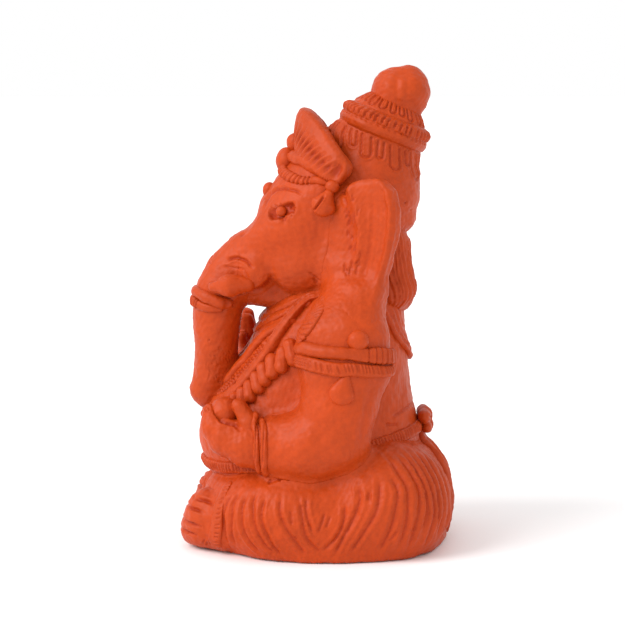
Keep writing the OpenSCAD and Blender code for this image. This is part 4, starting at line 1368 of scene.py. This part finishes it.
def shoulder_bands():
    on = ["torso", "head", "left_arm", "right_arm"]
    band = Strip("shoulder_band", [[26, 2.6, 105.6, 3.2, 1.3], [33.6, 1, 103, 4.4, 1.4],
        [39, -1.8, 98, 4.8, 1.4], [39.8, -4.2, 93.6, 4.0, 1.4], [37, -6.2, 90, 2.8, 1.3]], on=on, power=6)
    band.hatch(1.9, 3.6, (-5, 5), 0.45, 0.5, 1.0)
    twins(band.clay, "clay_rubbed")


ROPE_STEP = 0.5    # distance between the points of the garland's line


def garland():
    """Twisted rope of clay from under each shoulder band to the middle of the belly, thick to thin."""
    on = ["torso", "left_arm"]
    line = curve([[31.5, -8.4, 87.4], [30, -11.6, 83], [28, -16.8, 80], [26.6, -21.6, 75.4],
        [24.8, -27, 68.4], [20.6, -33.4, 62], [13, -39, 57], [5, -41.6, 54], [0, -42.4, 53]], ROPE_STEP)
    length = len(line) * ROPE_STEP
    lobes, at = [], 3.4
    while at < length - 3:
        i = int(at / ROPE_STEP)
        size = 1.05 - 0.5 * at / length
        p = on_skin(line[i:i + 1] - [0, 0, 1.2], on, -1.0)[0]
        way = line[min(i + 3, len(line) - 1)] - line[max(i - 3, 0)]
        way /= np.linalg.norm(way)
        over = np.cross(way, unit(skin_change(p[None], on)[1])[0])
        over = (-over if over[2] > 0 else over) * 0.86 + way * 0.45
        over /= np.linalg.norm(over)
        reach = 2.9 * size
        r = reach + 0.1
        lobes.append(blob("garland", [(p - over * reach, [r] * 3), (p + over * reach, [r * 1.05] * 3)], 0.6))
        at += 4.3 * size + 1.0
    rope = join("garland", lobes)
    start = Strip("garland", [[33, -6.2, 93, 1.7, 1.6], [33, -7.6, 89, 2.0, 1.8],
        [31.6, -10, 84.6, 2.2, 2.0]], on).clay
    whole = join("garland", [rope, other_half(rope, "garland"), start, other_half(start, "garland")])
    finish_piece(whole.turn().rough(0.1, 4))


def cloth_sheet(name, lower, upper, x_max, thick):
    """Sheet lying on the back of the body between two edges given as heights over |x|."""
    g = Grid([-x_max - 2, 14, min(v for _, v in lower) - 3], [x_max + 2, 48, max(v for _, v in upper) + 3],
        FINER)
    d = skin(g, BODY)[0]
    x = np.abs(g.x)
    low = np.interp(x, *np.array(lower).T) - g.z
    high = g.z - np.interp(x, *np.array(upper).T)
    slab = np.abs(d - 0.2) - thick
    edge = np.maximum(np.maximum(low * 0.8, high * 0.8), np.maximum(x - x_max, 18 - g.y))
    return Clay(name, *surface(g, smooth_max(slab, edge, 1.6)))


def back_shawl():
    shawl = cloth_sheet("back_shawl", [(0, 76), (5, 78.4), (11, 83), (15.2, 88), (18.5, 94), (20.6, 99),
        (23, 104)], [(0, 106), (23, 106.4)], 22.4, 1.8)
    flat = np.stack([np.abs(shawl.p[:, 0]), shawl.p[:, 2]], 1)
    folds = [[[0, 79], [5, 81.4], [11, 86], [15, 91], [18, 97], [20, 103]],
        [[0, 83], [5, 85], [10, 89], [14, 95], [16.5, 103]], [[0, 88], [6, 90.4], [11, 96], [13, 103]]]
    press(shawl, flat, folds, 1.2, 0.55, shawl.n[:, 1] > 0, lip=0.4)
    finish_piece(shawl.turn().rough(0.16))


def waist_belt():
    turn = np.radians(range(0, 360, 20))
    path = [[35.5 * math.cos(a), -3 + 46 * math.sin(a), 40.6 + 8.2 * math.sin(a), 2.6, 1.7] for a in turn]
    belt = Strip("waist_belt", path, on=BODY, closed=True, power=3)
    belt.hatch(1.6, 0.3, (-2.4, 1.4), 0.5, 0.6)
    finish_piece(belt.clay.rough(0.12), "clay_rubbed")


def waist_knot():
    ends = [([-4.6, 46.4, 47.8], [3.6, 2.3, 2.6]), ([0, 46.8, 48.4], [3.2, 2.5, 2.8]),
        ([4.6, 46.4, 47.8], [3.6, 2.3, 2.6])]
    knot = blob("waist_knot", [([-6.2, 45.2, 52.8], [4.6, 2.8, 2.9]), ([0, 45.8, 52.4], [3.4, 3.1, 3.6]),
        ([6.2, 45.2, 52.8], [4.6, 2.8, 2.9])], 1.2,
        extra=lambda g, d: smooth_min(d, chain(g, ends, 1), 0.8))
    press(knot, knot.p[:, [0, 2]], [[[-3, 56], [-3.4, 52], [-2.6, 47]], [[3, 56], [3.4, 52], [2.6, 47]],
        [[-9, 53], [-4, 52.4]], [[9, 53], [4, 52.4]]], 0.8, 0.7, knot.n[:, 1] > 0)
    finish_piece(knot.turn().rough(0.12))


def dhoti_tail():
    tail = Strip("dhoti_tail", [[0, 46.6, 46, 4.2, 2.0], [0, 50.6, 39, 6.2, 2.2], [0, 54, 30, 7.6, 2.0],
        [0, 55, 21, 8.4, 1.9], [0, 55, 14, 8.6, 1.8], [0, 54.6, 9.6, 7.6, 1.4]], on=["lap", "torso"],
        power=3.4)
    press(tail.clay, tail.uv, [[[2, -3], [30, -5.4], [50, -6]], [[0, 0.4], [24, 0.8], [52, 1]],
        [[4, 3.2], [30, 5.4], [50, 6]]], 1.1, 0.5, tail.clay.n[:, 1] > 0, lip=0.4)
    finish_piece(tail.clay.turn().rough(0.15), "clay_rubbed")


def front_fold():
    fold = blob("front_fold", [([0, -39.6, 28.6], [7, 4.6, 3]), ([0, -43.4, 23.4], [7.4, 3.8, 4.6]),
        ([0, -46.2, 14], [6.8, 3.4, 6]), ([0, -47.4, 6], [6.2, 3.2, 5.6])], 2,
        extra=lambda g, d: smooth_max(d, 0.3 - g.z, 0.8))
    press(fold, fold.p[:, [0, 2]], [[[-3.4, 30], [-3, 18], [-3.4, 4]], [[0.4, 31], [0.2, 18], [0, 3]],
        [[3.6, 30], [3.4, 18], [3.2, 4]]], 1.2, 0.7, fold.n[:, 1] < 0, lip=0.4)
    finish_piece(fold.turn().rough(0.15))


def ankle_hems():
    hem = Strip("ankle_hem", [[30, -35.4, 27.4, 2.4, 0.7], [34, -38, 24, 3.0, 1.0],
        [36.5, -40, 19, 3.1, 1.1], [36.7, -40.8, 13, 3.1, 1.1], [34.4, -41.6, 6.6, 3.0, 1.0],
        [33, -41.4, 2.6, 2.6, 0.8]], on=["lap", "left_foot"], power=3)
    hem.hatch(2.0, 0.7, (-2.4, -0.2), 0.5, 0.5)
    twins(hem.clay, "clay_rubbed")


# -------- pieces

for mass_name in MASSES:
    small = any(word in mass_name for word in ("hand", "thumb", "sweet"))
    piece = mass(mass_name, FINER if small else FINE)
    piece.rough(0.16, 13).turn()
    for marks in MARKS.get(mass_name, ()):
        marks(piece)
        piece.turn()
    piece.rough(0.05, 2.6, 5)
    finish_piece(piece, "clay_rubbed" if mass_name == "hair_locks" else "clay")

for ornament in (crown, crest, head_bands, head_beads, face_parts, trunk_bands, armlets, bracelets, collar,
        necklace, sacred_strap, shoulder_bands, garland, back_shawl, waist_belt, waist_knot, dhoti_tail,
        front_fold, ankle_hems):
    ornament()
